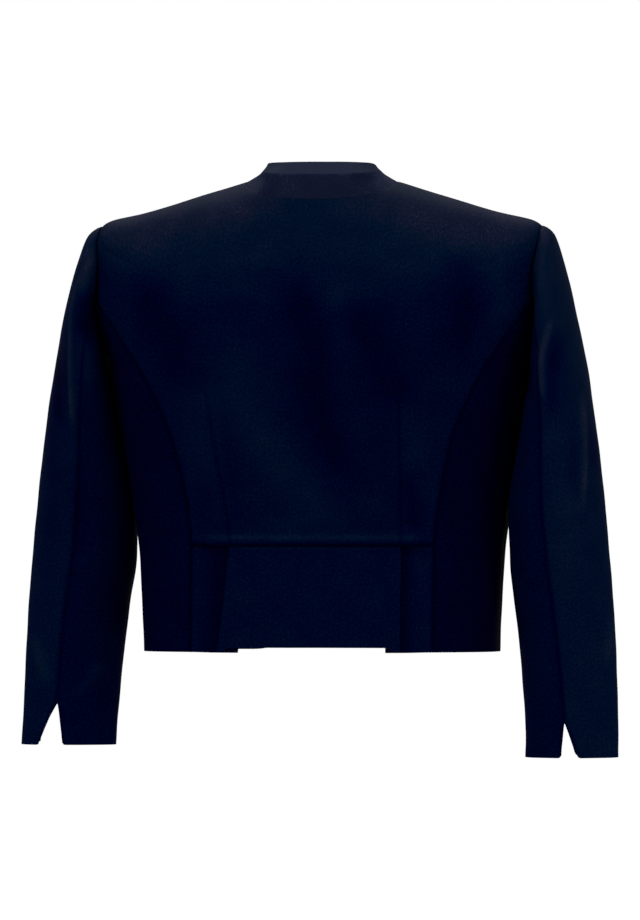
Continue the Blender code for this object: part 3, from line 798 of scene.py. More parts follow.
@dataclass(frozen=True)
class CrepeWeave:
    """The shader group for a fine, dry crepe: threads over and under, and a pebbled, uneven yarn."""

    name: str = "crepe_weave"
    pebble_detail: float = 2.0
    slub_scale: float = 420.0
    slub_detail: float = 3.0
    mottle_scale: float = 34.0
    mottle_detail: float = 4.0
    thread_share: float = 0.22
    thread_middle: float = 0.5
    pebble_share: float = 0.8
    slub_share: float = 0.6
    height_share: float = 0.35

    def group(self) -> bpy.types.NodeTree:
        """Builds the group, or gives it again if it is there.

        Returns:
            The group, with its Height, Tone and Mottle.
        """
        found = bpy.data.node_groups.get(self.name)
        if found:
            return found
        tree = bpy.data.node_groups.new(self.name, "ShaderNodeTree")
        for name, kind in (
            ("Cloth", "NodeSocketVector"),
            ("Threads", "NodeSocketFloat"),
            ("Pebble", "NodeSocketFloat"),
        ):
            tree.interface.new_socket(name, in_out="INPUT", socket_type=kind)
        for name in ("Height", "Tone", "Mottle"):
            tree.interface.new_socket(name, in_out="OUTPUT", socket_type="NodeSocketFloat")
        nodes = NodeKit(tree)
        given, result = nodes.add("NodeGroupInput"), nodes.add("NodeGroupOutput")
        parts = nodes.add("ShaderNodeSeparateXYZ", Vector=given.outputs["Cloth"])
        waves = []
        for axis in ("X", "Y"):
            turn = nodes.maths("MULTIPLY", parts.outputs[axis], given.outputs["Threads"])
            waves.append(nodes.maths("SINE", turn))
        checker = nodes.maths("MULTIPLY", waves[0], waves[1])
        cloth = given.outputs["Cloth"]
        pebbles = nodes.noise(cloth, given.outputs["Pebble"], self.pebble_detail)
        slub = nodes.noise(cloth, self.slub_scale, self.slub_detail)
        mottle = nodes.noise(cloth, self.mottle_scale, self.mottle_detail)
        weave = nodes.maths("MULTIPLY_ADD", checker, self.thread_share, self.thread_middle)
        height = nodes.maths("MULTIPLY_ADD", pebbles, self.pebble_share, weave)
        raised = nodes.maths("MULTIPLY", height, self.height_share)
        tone = nodes.maths("MULTIPLY_ADD", slub, self.slub_share, raised)
        for name, value in (("Height", height), ("Tone", tone), ("Mottle", mottle)):
            nodes.join(value, result.inputs[name])
        return tree


class NodeKit:
    """Adds and joins the nodes of one tree."""

    def __init__(self, tree: bpy.types.NodeTree) -> None:
        """Keeps the tree."""
        self.tree = tree

    def add(self, kind: str, **inputs: object) -> bpy.types.Node:
        """A new node, whose named inputs are joined to a socket or given a value.

        Args:
            kind: Its type.
            inputs: Its inputs by name, with _ for a space.

        Returns:
            The node.
        """
        node = self.tree.nodes.new(kind)
        for name, value in inputs.items():
            socket = node.inputs[name.replace("_", " ")]
            if isinstance(value, bpy.types.NodeSocket):
                self.join(value, socket)
            else:
                socket.default_value = value
        return node

    def maths(self, operation: str, *values: object) -> bpy.types.NodeSocket:
        """The result of a Math node on sockets and numbers.

        Args:
            operation: What it does.
            values: Its inputs in order.

        Returns:
            The node's result.
        """
        node = self.tree.nodes.new("ShaderNodeMath")
        node.operation = operation
        for socket, value in zip(node.inputs, values):
            if isinstance(value, bpy.types.NodeSocket):
                self.join(value, socket)
            else:
                socket.default_value = value
        return node.outputs[0]

    def noise(self, at: bpy.types.NodeSocket, scale: object, detail: float) -> bpy.types.NodeSocket:
        """The grey of a noise texture at these coordinates."""
        return self.add("ShaderNodeTexNoise", Vector=at, Scale=scale, Detail=detail).outputs["Fac"]

    def attribute(self, name: str) -> bpy.types.NodeSocket:
        """The value of one of the mesh's attributes."""
        node = self.add("ShaderNodeAttribute")
        node.attribute_name = name
        return node.outputs["Fac"]

    def join(self, source: bpy.types.NodeSocket, target: bpy.types.NodeSocket) -> None:
        """Links two sockets."""
        self.tree.links.new(source, target)


class Tone(NamedTuple):
    """A stop of the cloth's colour, from painted shade in folds to a painted highlight where it faces up."""

    share: float
    colour: tuple[float, float, float, float]


@dataclass(frozen=True)
class NavyCrepe:
    """The dark navy cloth of the whole jacket: matt, with a faint grey highlight painted where it faces up.
    """

    name: str = "navy_crepe"
    # From painted shade at 0 to a painted grey highlight at 1, where the cloth faces up.
    tones: tuple[Tone, ...] = (
        Tone(0.00, (0.00000, 0.00002, 0.0024, 1.0)),
        Tone(0.14, (0.00001, 0.00008, 0.0046, 1.0)),
        Tone(0.36, (0.00002, 0.00055, 0.0056, 1.0)),
        Tone(0.56, (0.00003, 0.00145, 0.0063, 1.0)),
        Tone(0.67, (0.00010, 0.00200, 0.0065, 1.0)),
        Tone(0.79, (0.00150, 0.00230, 0.0074, 1.0)),
        Tone(0.92, (0.00230, 0.00310, 0.0092, 1.0)),
        Tone(1.00, (0.00560, 0.00700, 0.0140, 1.0)),
    )
    threads: float = 2 * pi / 0.0009
    pebble: float = 1500.0
    grain_share: float = 1.70
    grain_most: float = 1.25
    grain_calm: float = 0.80
    grain_middle: float = 0.615
    mottle_share: float = 0.30
    # How much painted shade darkens the colour along the seams.
    seam_shade_share: float = 0.34
    rough: float = 0.52
    rough_range: float = 0.08
    specular: float = 0.0005
    sheen: float = 0.0003
    sheen_rough: float = 0.40
    sheen_tint: tuple[float, float, float, float] = (0.62, 0.70, 0.95, 1.0)
    bump: float = 0.35
    bump_depth: float = 0.00012

    def material(self) -> bpy.types.Material:
        """Builds the material, or gives it again if it is there.

        Returns:
            The material.
        """
        found = bpy.data.materials.get(self.name)
        if found:
            return found
        material = bpy.data.materials.new(self.name)
        material.use_nodes = True
        nodes = NodeKit(material.node_tree)
        shader = material.node_tree.nodes["Principled BSDF"]
        cloth = nodes.add("ShaderNodeUVMap")
        cloth.uv_map = UV_NAME
        weave = nodes.add("ShaderNodeGroup")
        weave.node_tree = CrepeWeave().group()
        nodes.join(cloth.outputs["UV"], weave.inputs["Cloth"])
        weave.inputs["Threads"].default_value = self.threads
        weave.inputs["Pebble"].default_value = self.pebble
        nodes.join(self.colour(nodes, weave), shader.inputs["Base Color"])
        rough = nodes.maths("MULTIPLY_ADD", weave.outputs["Mottle"], self.rough_range, self.rough)
        nodes.join(rough, shader.inputs["Roughness"])
        bump = nodes.add("ShaderNodeBump", Height=weave.outputs["Height"])
        bump.inputs["Strength"].default_value = self.bump
        bump.inputs["Distance"].default_value = self.bump_depth
        nodes.join(bump.outputs["Normal"], shader.inputs["Normal"])
        shader.inputs["Metallic"].default_value = 0.0
        shader.inputs["Specular IOR Level"].default_value = self.specular
        shader.inputs["Sheen Weight"].default_value = self.sheen
        shader.inputs["Sheen Roughness"].default_value = self.sheen_rough
        shader.inputs["Sheen Tint"].default_value = self.sheen_tint
        return material

    def colour(self, nodes: NodeKit, weave: bpy.types.Node) -> bpy.types.NodeSocket:
        """Joins the painted-light tone, the yarn's grain and the painted seam shade into one colour.

        Args:
            nodes: The material's nodes.
            weave: The node with the crepe's group.

        Returns:
            The colour.
        """
        # The tone with its painted light and shade, and the painted shade along the seams.
        tone_with_painted_light, seam_shade = nodes.attribute(TONE_WITH_PAINTED_LIGHT), nodes.attribute(SEAM_SHADE)
        middle = -self.grain_share * self.grain_middle
        calm = nodes.maths("MULTIPLY_ADD", tone_with_painted_light, -self.grain_calm, self.grain_most)
        uneven = nodes.maths("MULTIPLY_ADD", weave.outputs["Tone"], self.grain_share, middle)
        grain = nodes.maths("MULTIPLY", uneven, calm)
        share = self.mottle_share
        mottle = nodes.maths("MULTIPLY_ADD", weave.outputs["Mottle"], share, -share / 2)
        tone = nodes.maths("ADD", nodes.maths("ADD", tone_with_painted_light, grain), mottle)
        # Painted shade along the seams.
        shaded = nodes.maths("MULTIPLY_ADD", seam_shade, -self.seam_shade_share, tone)
        ramp = nodes.add("ShaderNodeValToRGB", Fac=shaded)
        stops = ramp.color_ramp.elements
        while len(stops) < len(self.tones):
            stops.new(1.0)
        for stop, tone in zip(stops, self.tones):
            stop.position, stop.color = tone.share, tone.colour
        return ramp.outputs["Color"]


# ---------------------------------------------------------------- panels of cloth


class Edge(Enum):
    """The edges of a panel's grid."""

    FIRST_COLUMN = "first_column"
    LAST_COLUMN = "last_column"
    BOTTOM = "bottom"
    TOP = "top"


class Wall(Enum):
    """On which side of its surface a panel's wall lies, as Solidify's offset."""

    OUTWARD = 1.0
    CENTRED = 0.0
    INWARD = -1.0


@dataclass
class ClothPanel(ABC):
    """One cut piece of cloth: a fine grid on the jacket's form, creased, pressed at its seams and walled."""

    name: str = ""
    wall: float = 0.0016
    wall_side: Wall = Wall.OUTWARD
    seams: tuple[Edge, ...] = ()
    creases: tuple[Crease, ...] = ()
    hung_from: tuple[str, ...] = ()
    finish: NavyCrepe = field(default_factory=NavyCrepe)
    uneven: Unevenness = field(default_factory=Unevenness)
    seam_sink: float = 0.0010
    seam_width: float = 0.0020
    seam_shade_width: float = 0.0024
    edge_round: float = 0.00045
    edge_segments: int = 2
    edge_angle: float = radians(60)
    # tone is the panel's base tone. The slope and top light lifts are painted light where the cloth faces up,
    # and tone_height is the crease height that adds a whole unit of painted light on a ridge, or of painted
    # shade in a trough.
    tone: float = 0.34
    tone_height: float = 0.0135
    painted_slope_light: float = 0.24
    painted_top_light: float = 0.20
    slope_light_from: tuple[float, float] = (0.12, 0.36)
    top_light_from: tuple[float, float] = (0.42, 0.76)

    @abstractmethod
    def surface(self) -> Array:
        """The grid of points, rows by columns by three, rows rising and faces outwards."""

    def normals(self, points: Array) -> Array:
        """The outward direction at each point of the grid."""
        normal = np.cross(np.gradient(points, axis=1), np.gradient(points, axis=0))
        return normal / np.maximum(np.linalg.norm(normal, axis=-1, keepdims=True), TINY)

    def from_edge(self, points: Array, edge: Edge) -> Array:
        """The distance of each grid point from one edge, along the cloth.

        Args:
            points: The grid of points, rows by columns by three.
            edge: The edge to measure from.

        Returns:
            The distances in metres.
        """
        axis = 1 if edge in (Edge.FIRST_COLUMN, Edge.LAST_COLUMN) else 0
        steps = np.linalg.norm(np.diff(points, axis=axis), axis=-1)
        start = np.zeros_like(np.take(points[..., 0], [0], axis))
        along = np.concatenate([start, np.cumsum(steps, axis)], axis)
        if edge in (Edge.FIRST_COLUMN, Edge.BOTTOM):
            return along
        return np.take(along, [-1], axis) - along

    def seam_relief(self, points: Array) -> Array:
        """How the cloth sinks towards its seams.

        Args:
            points: The grid of points, rows by columns by three.

        Returns:
            The lift of each point in metres.
        """
        found = np.zeros(points.shape[:2])
        for edge in self.seams:
            found -= self.seam_sink * bell(self.from_edge(points, edge), self.seam_width)
        return found

    def seam_shading(self, points: Array) -> Array:
        """How near each point is to a seam, from 0 to 1, which sets the painted shade along the seams.

        Args:
            points: The grid of points, rows by columns by three.

        Returns:
            The nearness of each point.
        """
        found = np.zeros(points.shape[:2])
        for edge in self.seams:
            found = np.maximum(found, bell(self.from_edge(points, edge), self.seam_shade_width))
        return found

    def folds(self, points: Array, normals: Array) -> Array:
        """How far the creases lift the cloth at each point.

        Args:
            points: The grid of points, rows by columns by three.
            normals: The outward direction at each point.

        Returns:
            The lift of each point in metres.
        """
        found = np.zeros(points.shape[:2])
        for crease in self.creases:
            found += crease.relief(points, normals)
        return found

    def relief(self, points: Array, normals: Array) -> Array:
        """How far the creases, seams and waviness lift the cloth at each point."""
        return self.folds(points, normals) + self.uneven.relief(points) + self.seam_relief(points)

    def tone_with_painted_light(self, points: Array, normals: Array) -> Array:
        """The cloth's tone: painted light on ridges and where it faces up, and painted shade in troughs.

        Args:
            points: The grid of points, rows by columns by three.
            normals: The outward direction at each point.

        Returns:
            The tone of each point, from 0 to 1.
        """
        upwards = normals[..., 2]
        found = self.tone + self.painted_slope_light * smooth_step(upwards, *self.slope_light_from)
        found += self.painted_top_light * smooth_step(upwards, *self.top_light_from)
        for crease in self.creases:
            found += crease.relief(points, normals) * crease.shine / self.tone_height
        return found

    def grid_uv(self, points: Array) -> Array:
        """The cloth's own coordinates in metres, across from its middle column and up from its hem.

        Args:
            points: The grid of points, rows by columns by three.

        Returns:
            The coordinates of each point, across and up.
        """
        across = self.from_edge(points, Edge.FIRST_COLUMN)
        middle = points.shape[1] // 2
        up = self.from_edge(points, Edge.BOTTOM)[:, middle : middle + 1]
        return np.stack([across - across[:, middle : middle + 1], np.broadcast_to(up, across.shape)], axis=-1)

    def build(self) -> bpy.types.Object:
        """Returns:
            The panel's object.
        """
        flat = self.surface()
        normals = self.normals(flat)
        points = flat + normals * self.relief(flat, normals)[..., None]
        piece = self.lay(points, self.tone_with_painted_light(flat, normals))
        self.thicken(piece)
        piece.data.materials.append(self.finish.material())
        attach(piece, BODY)
        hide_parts(self.name)
        self.declare(piece, flat)
        return piece

    def lay(self, points: Array, tone_with_painted_light: Array) -> bpy.types.Object:
        """Lays a flat grid onto the points, with its UV map, painted-light tone and painted seam shade.

        Args:
            points: The grid of points, rows by columns by three.
            tone_with_painted_light: The tone of each point, with its painted light and shade.

        Returns:
            The object, still without its wall.
        """
        rows, columns = points.shape[0] - 1, points.shape[1] - 1
        half = 0.5
        form = bmesh.new()
        bmesh.ops.create_grid(form, x_segments=columns, y_segments=rows, size=half)
        at = [(round((v.co.y + half) * rows), round((v.co.x + half) * columns)) for v in form.verts]
        for vert, (row, column) in zip(form.verts, at):
            vert.co = points[row, column]
        mesh = bpy.data.meshes.new(f"{self.name}_cloth")
        form.to_mesh(mesh)
        form.free()
        row, column = np.array(at).T
        corners = np.empty(len(mesh.loops), int)
        mesh.loops.foreach_get("vertex_index", corners)
        uv = mesh.uv_layers.new(name=UV_NAME)
        uv.data.foreach_set("uv", self.grid_uv(points)[row, column][corners].astype(np.float32).ravel())
        for name, values in ((SEAM_SHADE, self.seam_shading(points)), (TONE_WITH_PAINTED_LIGHT, tone_with_painted_light)):
            layer = mesh.attributes.new(name, "FLOAT", "POINT")
            layer.data.foreach_set("value", values[row, column].astype(np.float32))
        mesh.shade_smooth()
        piece = bpy.data.objects.new(f"{self.name}_cloth", mesh)
        bpy.context.scene.collection.objects.link(piece)
        return piece

    def thicken(self, piece: bpy.types.Object) -> None:
        """Gives the cloth its wall and rounds the wall's edges.

        Args:
            piece: The panel's object.
        """
        wall = piece.modifiers.new("wall", "SOLIDIFY")
        wall.thickness = self.wall
        wall.offset = self.wall_side.value
        turned = piece.modifiers.new("turned_edges", "BEVEL")
        turned.width = self.edge_round
        turned.segments = self.edge_segments
        turned.limit_method = "ANGLE"
        turned.angle_limit = self.edge_angle

    def declare(self, piece: bpy.types.Object, points: Array) -> None:
        """Args:
            piece: The panel's object.
            points: Its grid before it was creased.
        """
        across = self.from_edge(points, Edge.FIRST_COLUMN)[:, -1].max()
        up = self.from_edge(points, Edge.BOTTOM)[-1].max()
        right, over = np.diff(points, axis=1)[:-1], np.diff(points, axis=0)[:, :-1]
        area = float(np.linalg.norm(np.cross(right, over), axis=-1).sum())
        flat = (round(float(across), 4), round(float(up), 4))
        self.hung_from
        min(area, flat[0] * flat[1])
        LOG.info("%s: cut %.3f x %.3f m, %.4f m2", piece.name, *flat, area)


BACK_CREASES = (
    Crease(((0.128, -0.034), (0.090, -0.042), (0.046, -0.040)), 0.0008, 0.020, 0.018, 0.25, shine=0.9),
    Crease(((-0.070, -0.042), (-0.112, -0.054), (-0.172, -0.060)), 0.0008, 0.018, 0.022, 0.20, shine=0.9),
    Crease(((0.178, -0.080), (0.161, -0.123), (0.141, -0.169), (0.120, -0.225)), -0.0030, 0.022, 0.026, 0.30),
    Crease(
        ((-0.142, -0.060), (-0.157, -0.118), (-0.159, -0.164), (-0.138, -0.200)),
        -0.0036, 0.026, 0.017, 0.30,
    ),
    Crease(((-0.167, -0.077), (-0.192, -0.118), (-0.172, -0.164), (-0.155, -0.205)), 0.0018, 0.012),
    Crease(
        ((0.034, -0.072), (-0.006, -0.160), (-0.0155, -0.256), (-0.064, -0.330)),
        -0.0036, 0.026, 0.020, 0.25,
    ),
    Crease(((-0.041, -0.110), (-0.068, -0.180), (-0.094, -0.250)), -0.0032, 0.024, 0.026, 0.30),
    Crease(((0.076, -0.135), (0.064, -0.225), (0.018, -0.292), (-0.052, -0.374)), 0.0027, 0.032, 0.027, 0.32),
    Crease(((-0.0256, -0.080), (-0.0307, -0.154), (-0.052, -0.215)), 0.0016, 0.014),
    Crease(((0.112, -0.190), (0.104, -0.260), (0.098, -0.330)), 0.0018, 0.020, 0.018, 0.40),
    Crease(((-0.112, -0.225), (-0.106, -0.290), (-0.112, -0.345)), 0.0015, 0.018, 0.018, 0.40),
    Crease(((0.090, -0.225), (0.078, -0.300), (0.068, -0.350)), -0.0014, 0.012),
    Crease(((-0.020, -0.330), (0.020, -0.348), (0.062, -0.342)), 0.0010, 0.010),
    Crease(((0.150, -0.250), (0.138, -0.300), (0.132, -0.350)), -0.0012, 0.014),
    Crease(((-0.096, -0.285), (-0.101, -0.325), (-0.103, -0.362)), -0.0034, 0.010, 0.010, 0.25),
    Crease(((0.104, -0.300), (0.106, -0.330), (0.108, -0.362)), -0.0010, 0.012, 0.012, 0.25),
)


@dataclass
class BackPanel(ClothPanel):
    """The back above the waist seam, with two darts and its lower edge rolled over the pleats."""

    body: BodyForm = field(default_factory=BodyForm)
    name: str = "back"
    seams: tuple[Edge, ...] = (Edge.FIRST_COLUMN, Edge.LAST_COLUMN, Edge.BOTTOM)
    creases: tuple[Crease, ...] = BACK_CREASES
    roll: float = 0.0014
    roll_from: float = 0.003
    roll_to: float = 0.012
    ridge_z: float = -0.3600
    ridge_height: float = 0.0013
    ridge_width: float = 0.0050
    ridge_reach: float = 0.110
    ridge_fade: float = 0.012
    ridge_shine: float = 2.0
    left_dart: tuple[SeamPoint, ...] = (
        SeamPoint(-0.367, 0.0800),
        SeamPoint(-0.313, 0.0884),
        SeamPoint(-0.264, 0.0965),
        SeamPoint(-0.207, 0.1025),
    )
    right_dart: tuple[SeamPoint, ...] = (
        SeamPoint(-0.367, 0.0892),
        SeamPoint(-0.290, 0.0892),
        SeamPoint(-0.250, 0.0895),
        SeamPoint(-0.202, 0.0900),
    )
    dart_sink: float = 0.0010
    dart_width: float = 0.0014
    dart_fade: float = 0.050
    dart_beyond: float = 0.012
    waist_shade: float = 0.34
    waist_shade_width: float = 0.0042
    dart_shade: float = 0.20
    dart_shade_width: float = 0.0020
    waist_gap: float = 0.004
    low_rows: int = 96
    low_crowding: float = 0.75
    armhole_rows: int = 40
    shoulder_rows: int = 56
    shoulder_crowding: float = 0.3
    part_columns: int = 34
    outer_crowding: tuple[float, float] = (0.35, 0.35)
    inner_crowding: tuple[float, float] = (0.30, 0.05)

    def rows(self) -> Array:
        """The levels of the grid's rows, with one at each corner of the outline.

        Returns:
            The rising levels.
        """
        low = crowded(self.low_rows, start=self.low_crowding)
        low = blend(WAIST + self.waist_gap, self.body.seam_top, low)
        slowing = np.sin(pi / 2 * np.linspace(0, 1, self.armhole_rows + 1))
        armhole = blend(self.body.seam_top, SHOULDER_TIP, slowing)
        shoulder = crowded(self.shoulder_rows, end=self.shoulder_crowding)
        shoulder = blend(SHOULDER_TIP, NECK_SEAM, shoulder)
        return np.concatenate([low, armhole[1:], shoulder[1:]])

    def edge_place(self, level: float) -> float:
        """The place of the left edge: the curved seam, then the armhole, then the shoulder seam.

        Args:
            level: The level, as a row of the sections' table.

        Returns:
            The place, with half a seam's gap.
        """
        gap = float(self.body.gap(level, Face.BACK))
        if level >= SHOULDER_TIP:
            return LEFT_SIDE + gap
        seam = float(self.body.back_seam(level)) if level <= self.body.seam_top else LEFT_SIDE
        return max(self.body.armhole(float(level), Face.BACK), seam) + gap

    def dart_share(self, dart: tuple[SeamPoint, ...], level: float, edge: float) -> float:
        """How far in from the edge to the centre line a dart lies, held level above its tip.

        Args:
            dart: The dart's points.
            level: The level, as a row of the sections' table.
            edge: The place of the left edge there.

        Returns:
            The share, from 0 at the edge to 1.
        """
        table = np.array(dart)
        ring = self.body.ring(float(min(level, self.tip_level(dart))))
        place = ring.place_behind(np.interp(ring.points[-1, 2], table[:, 0], table[:, 1]))
        return float((place - edge) / (CENTRE_BACK - edge))

    def tip_level(self, dart: tuple[SeamPoint, ...]) -> float:
        """The level of a dart's tip."""
        heights = self.body.table[:, -1, 2]
        return float(np.interp(dart[-1].z, heights, self.body.fine_levels))

    def surface(self) -> Array:
        """Rows of the body's form, whose columns follow the two darts.

        Returns:
            The grid of points, rows by columns by three.
        """
        levels = self.rows()
        outer = crowded(self.part_columns, *self.outer_crowding)
        inner = crowded(self.part_columns, *self.inner_crowding)
        grid = []
        for level in levels:
            edge = self.edge_place(level)
            halves = []
            for dart in (self.left_dart, self.right_dart):
                tip = self.tip_level(dart)
                at = self.dart_share(dart, level, self.edge_place(min(level, tip)))
                halves.append(np.concatenate([at * outer, (at + (1 - at) * inner)[1:]]))
            left = blend(edge, CENTRE_BACK, halves[0])
            right = 2 * CENTRE_BACK - blend(edge, CENTRE_BACK, halves[1])
            places = np.concatenate([left, right[::-1][1:]])
            grid.append(self.body.point(places, level))
        points = np.array(grid)
        above = points[..., 2] - BODY_SECTIONS["waist"].side_z
        lift = self.roll * (1 - smooth_step(above, self.roll_from, self.roll_to))
        return points + self.normals(points) * lift[..., None]

    def relief(self, points: Array, normals: Array) -> Array:
        """Adds the darts and the ridge that the waist seam's turnings press up."""
        grooves = self.grooves(points, self.dart_width)
        return super().relief(points, normals) - self.dart_sink * grooves + self.ridge(points)

    def grooves(self, points: Array, width: float) -> Array:
        """How near each point is to a dart, from 0 to 1, fading out towards the darts' tips.

        Args:
            points: The grid of points, rows by columns by three.
            width: How far a groove spreads.

        Returns:
            The nearness of each point.
        """
        found = np.zeros(points.shape[:2])
        for dart, sign in ((self.left_dart, 1), (self.right_dart, -1)):
            table = np.array(dart)
            x = np.interp(points[..., 2], table[:, 0], table[:, 1]) * sign
            depth = smooth_step(table[-1, 0] + self.dart_beyond - points[..., 2], 0.0, self.dart_fade)
            found += bell(points[..., 0] - x, width) * depth
        return found

    def ridge(self, points: Array) -> Array:
        """How far the waist seam's turnings lift the cloth at each point.

        Args:
            points: The grid of points, rows by columns by three.

        Returns:
            The lift of each point in metres.
        """
        ridge = bell(points[..., 2] - self.ridge_z, self.ridge_width)
        across = np.abs(points[..., 0])
        reach = 1 - smooth_step(across, self.ridge_reach - self.ridge_fade, self.ridge_reach)
        return self.ridge_height * ridge * reach

    def tone_with_painted_light(self, points: Array, normals: Array) -> Array:
        """Adds painted light on the waist's ridge, and painted shade under its rolled edge and in the darts.

        Args:
            points: The grid of points, rows by columns by three.
            normals: The outward direction at each point.

        Returns:
            The tone of each point, from 0 to 1.
        """
        near = bell(self.from_edge(points, Edge.BOTTOM), self.waist_shade_width)
        found = super().tone_with_painted_light(points, normals) - self.waist_shade * near
        found += self.ridge(points) * self.ridge_shine / self.tone_height
        return found - self.dart_shade * self.grooves(points, self.dart_shade_width)


@dataclass
class SideBackPanel(ClothPanel):
    """The panel between the side seam and the curved back seam, from the hem to the armhole."""

    body: BodyForm = field(default_factory=BodyForm)
    side: Side = Side.LEFT
    seams: tuple[Edge, ...] = (Edge.FIRST_COLUMN, Edge.LAST_COLUMN)
    inset: float = 0.008
    columns: int = 44
    column_crowding: float = 0.3
    rows: int = 190
    top_crowding: float = 0.4
    splay_power: int = 3
    side_shade: float = 0.12

    def tone_with_painted_light(self, points: Array, normals: Array) -> Array:
        """Shades the panel towards the side seam, where the arm hangs over it.

        Args:
            points: The grid of points, rows by columns by three.
            normals: The outward direction at each point.

        Returns:
            The tone of each point, from 0 to 1.
        """
        across = np.linspace(0, 1, points.shape[1])
        if self.side is Side.RIGHT:
            across = across[::-1]
        return super().tone_with_painted_light(points, normals) - self.side_shade * (1 - smooth_step(across, 0.0, 1.0))

    def surface(self) -> Array:
        """Rows that rise to the armhole's edge at every column.

        Returns:
            The grid of points, rows by columns by three.
        """
        across = crowded(self.columns, self.column_crowding, self.column_crowding)
        up = crowded(self.rows, end=self.top_crowding)[:, None]
        back = self.body.armhole_rows[Face.BACK]
        order = np.argsort(back[:, 2])
        tip_angle = float(np.interp(self.body.seam_top, back[order, 2], back[order, 0]))
        top_place, top_level = self.body.on_armhole(blend(pi, tip_angle, across))
        inset = np.where(across == 1.0, 0.0, self.inset)
        level = blend(HEM, top_level - inset, up)
        top_across = (top_place - LEFT_SIDE) / (self.body.back_seam(top_level) - LEFT_SIDE)
        share = blend(across, np.minimum(top_across, 1.0), up**self.splay_power)
        gap = self.body.gap(level, Face.BACK)
        points = self.body.point(blend(LEFT_SIDE + gap, self.body.back_seam(level) - gap, share), level)
        return on_side(points, self.side)


def on_side(points: Array, side: Side) -> Array:
    """A grid made on the wearer's left, brought to its own side with its faces still outwards.

    Args:
        points: The grid of points, rows by columns by three.
        side: The wearer's side that it belongs to.

    Returns:
        The grid on its own side.
    """
    if side is Side.LEFT:
        return points
    found = points[:, ::-1].copy()
    found[..., 0] *= -1
    return found


@dataclass
class FrontPanel(ClothPanel):
    """One front, from its rounded hem corner to the shoulder seam, with no closing."""

    body: BodyForm = field(default_factory=BodyForm)
    side: Side = Side.LEFT
    seams: tuple[Edge, ...] = (Edge.LAST_COLUMN, Edge.TOP)
    gap_hem: float = 0.030
    gap_neck: float = 0.009
    corner: float = 0.055
    corner_columns: int = 22
    columns: int = 74
    low_rows: int = 120
    armhole_rows: int = 52
    shoulder_rows: int = 52
    shoulder_crowding: float = 0.3
    edge_samples: int = 200

    def edge_x(self, z: Array) -> Array:
        """How far the front edge lies from the centre line at a height."""
        hem_z, neck_z = BODY_SECTIONS["hem"].front_z, BODY_SECTIONS["neck"].front_z
        return blend(self.gap_hem, self.gap_neck, smooth_step(z, hem_z, neck_z))

    def place_at_x(self, x: float, level: float) -> float:
        """The place on the front of a ring that lies this far from the centre line."""
        return float(self.body.ring(float(level)).place_in_front(x))

    def edge_place(self, level: float) -> float:
        """The place of the front edge on the ring at a level."""
        return self.place_at_x(float(self.edge_x(self.body.ring(float(level)).points[0, 2])), level)

    def hem_corner(self, turn: float) -> tuple[float, float]:
        """The place and level on the rounded corner, turn being 0 on the hem and 1 on the front edge.

        Args:
            turn: How far round the corner it lies.

        Returns:
            The place and the level.
        """
        hem, waist = BODY_SECTIONS["hem"].front_z, BODY_SECTIONS["waist"].front_z
        rise = self.corner * (1 - cos(pi / 2 * turn))
        level = WAIST * rise / (waist - hem)
        across = self.corner * (1 - sin(pi / 2 * turn))
        return self.place_at_x(float(self.edge_x(hem + rise)) + across, level), level

    def surface(self) -> Array:
        """Rows that start on the hem's rounded corner and end at the shoulder seam.

        Returns:
            The grid of points, rows by columns by three.
        """
        low = blend(HEM, UNDERARM, crowded(self.low_rows))
        eased = (1 - np.cos(pi * np.linspace(0, 1, self.armhole_rows + 1))) / 2
        armhole = blend(UNDERARM, SHOULDER_TIP, eased)
        shoulder = crowded(self.shoulder_rows, end=self.shoulder_crowding)
        shoulder = blend(SHOULDER_TIP, NECK_SEAM, shoulder)
        levels = np.concatenate([low, armhole[1:], shoulder[1:]])
        across = np.linspace(0, 1, self.columns + 1)
        turns = 1 - np.arange(self.corner_columns + 1) / self.corner_columns
        corner = np.array([self.hem_corner(float(turn)) for turn in turns])
        side = LEFT_SIDE - float(self.body.gap(HEM, Face.FRONT))
        rest = blend(corner[-1, 0], side, crowded(self.columns - self.corner_columns)[1:])
        hem_place = np.concatenate([corner[:, 0], rest])
        hem_level = np.concatenate([corner[:, 1], np.full(len(rest), float(HEM))])
        inner = np.clip((hem_place - corner[0, 0]) / (LEFT_SIDE - corner[0, 0]), 0.0, 1.0)
        inner[-1] = 1.0
        grid = []
        for row, level in enumerate(levels):
            below = row < len(low)
            at = blend(hem_level, UNDERARM, level / UNDERARM) if below else np.full(len(across), level)
            mix = smooth_step(row, 0, len(low) - 1)
            share = blend(inner, across, mix)
            if below:
                edges = np.interp(at, *self.fine_edge)
                outer = LEFT_SIDE - self.body.gap(at, Face.FRONT)
            else:
                edges = np.full(len(across), self.edge_place(float(level)))
                outer = self.body.armhole(float(level), Face.FRONT) - self.body.gap(at, Face.FRONT)
            grid.append(self.body.point(blend(edges, outer, share), at))
        points = np.array(grid)
        points[0] = self.body.point(hem_place, hem_level)
        return on_side(points, self.side)

    @cached_property
    def fine_edge(self) -> tuple[Array, Array]:
        """Levels from the hem to the underarm with the places of the front edge."""
        levels = np.linspace(HEM, UNDERARM, self.edge_samples)
        return levels, np.array([self.edge_place(float(level)) for level in levels])


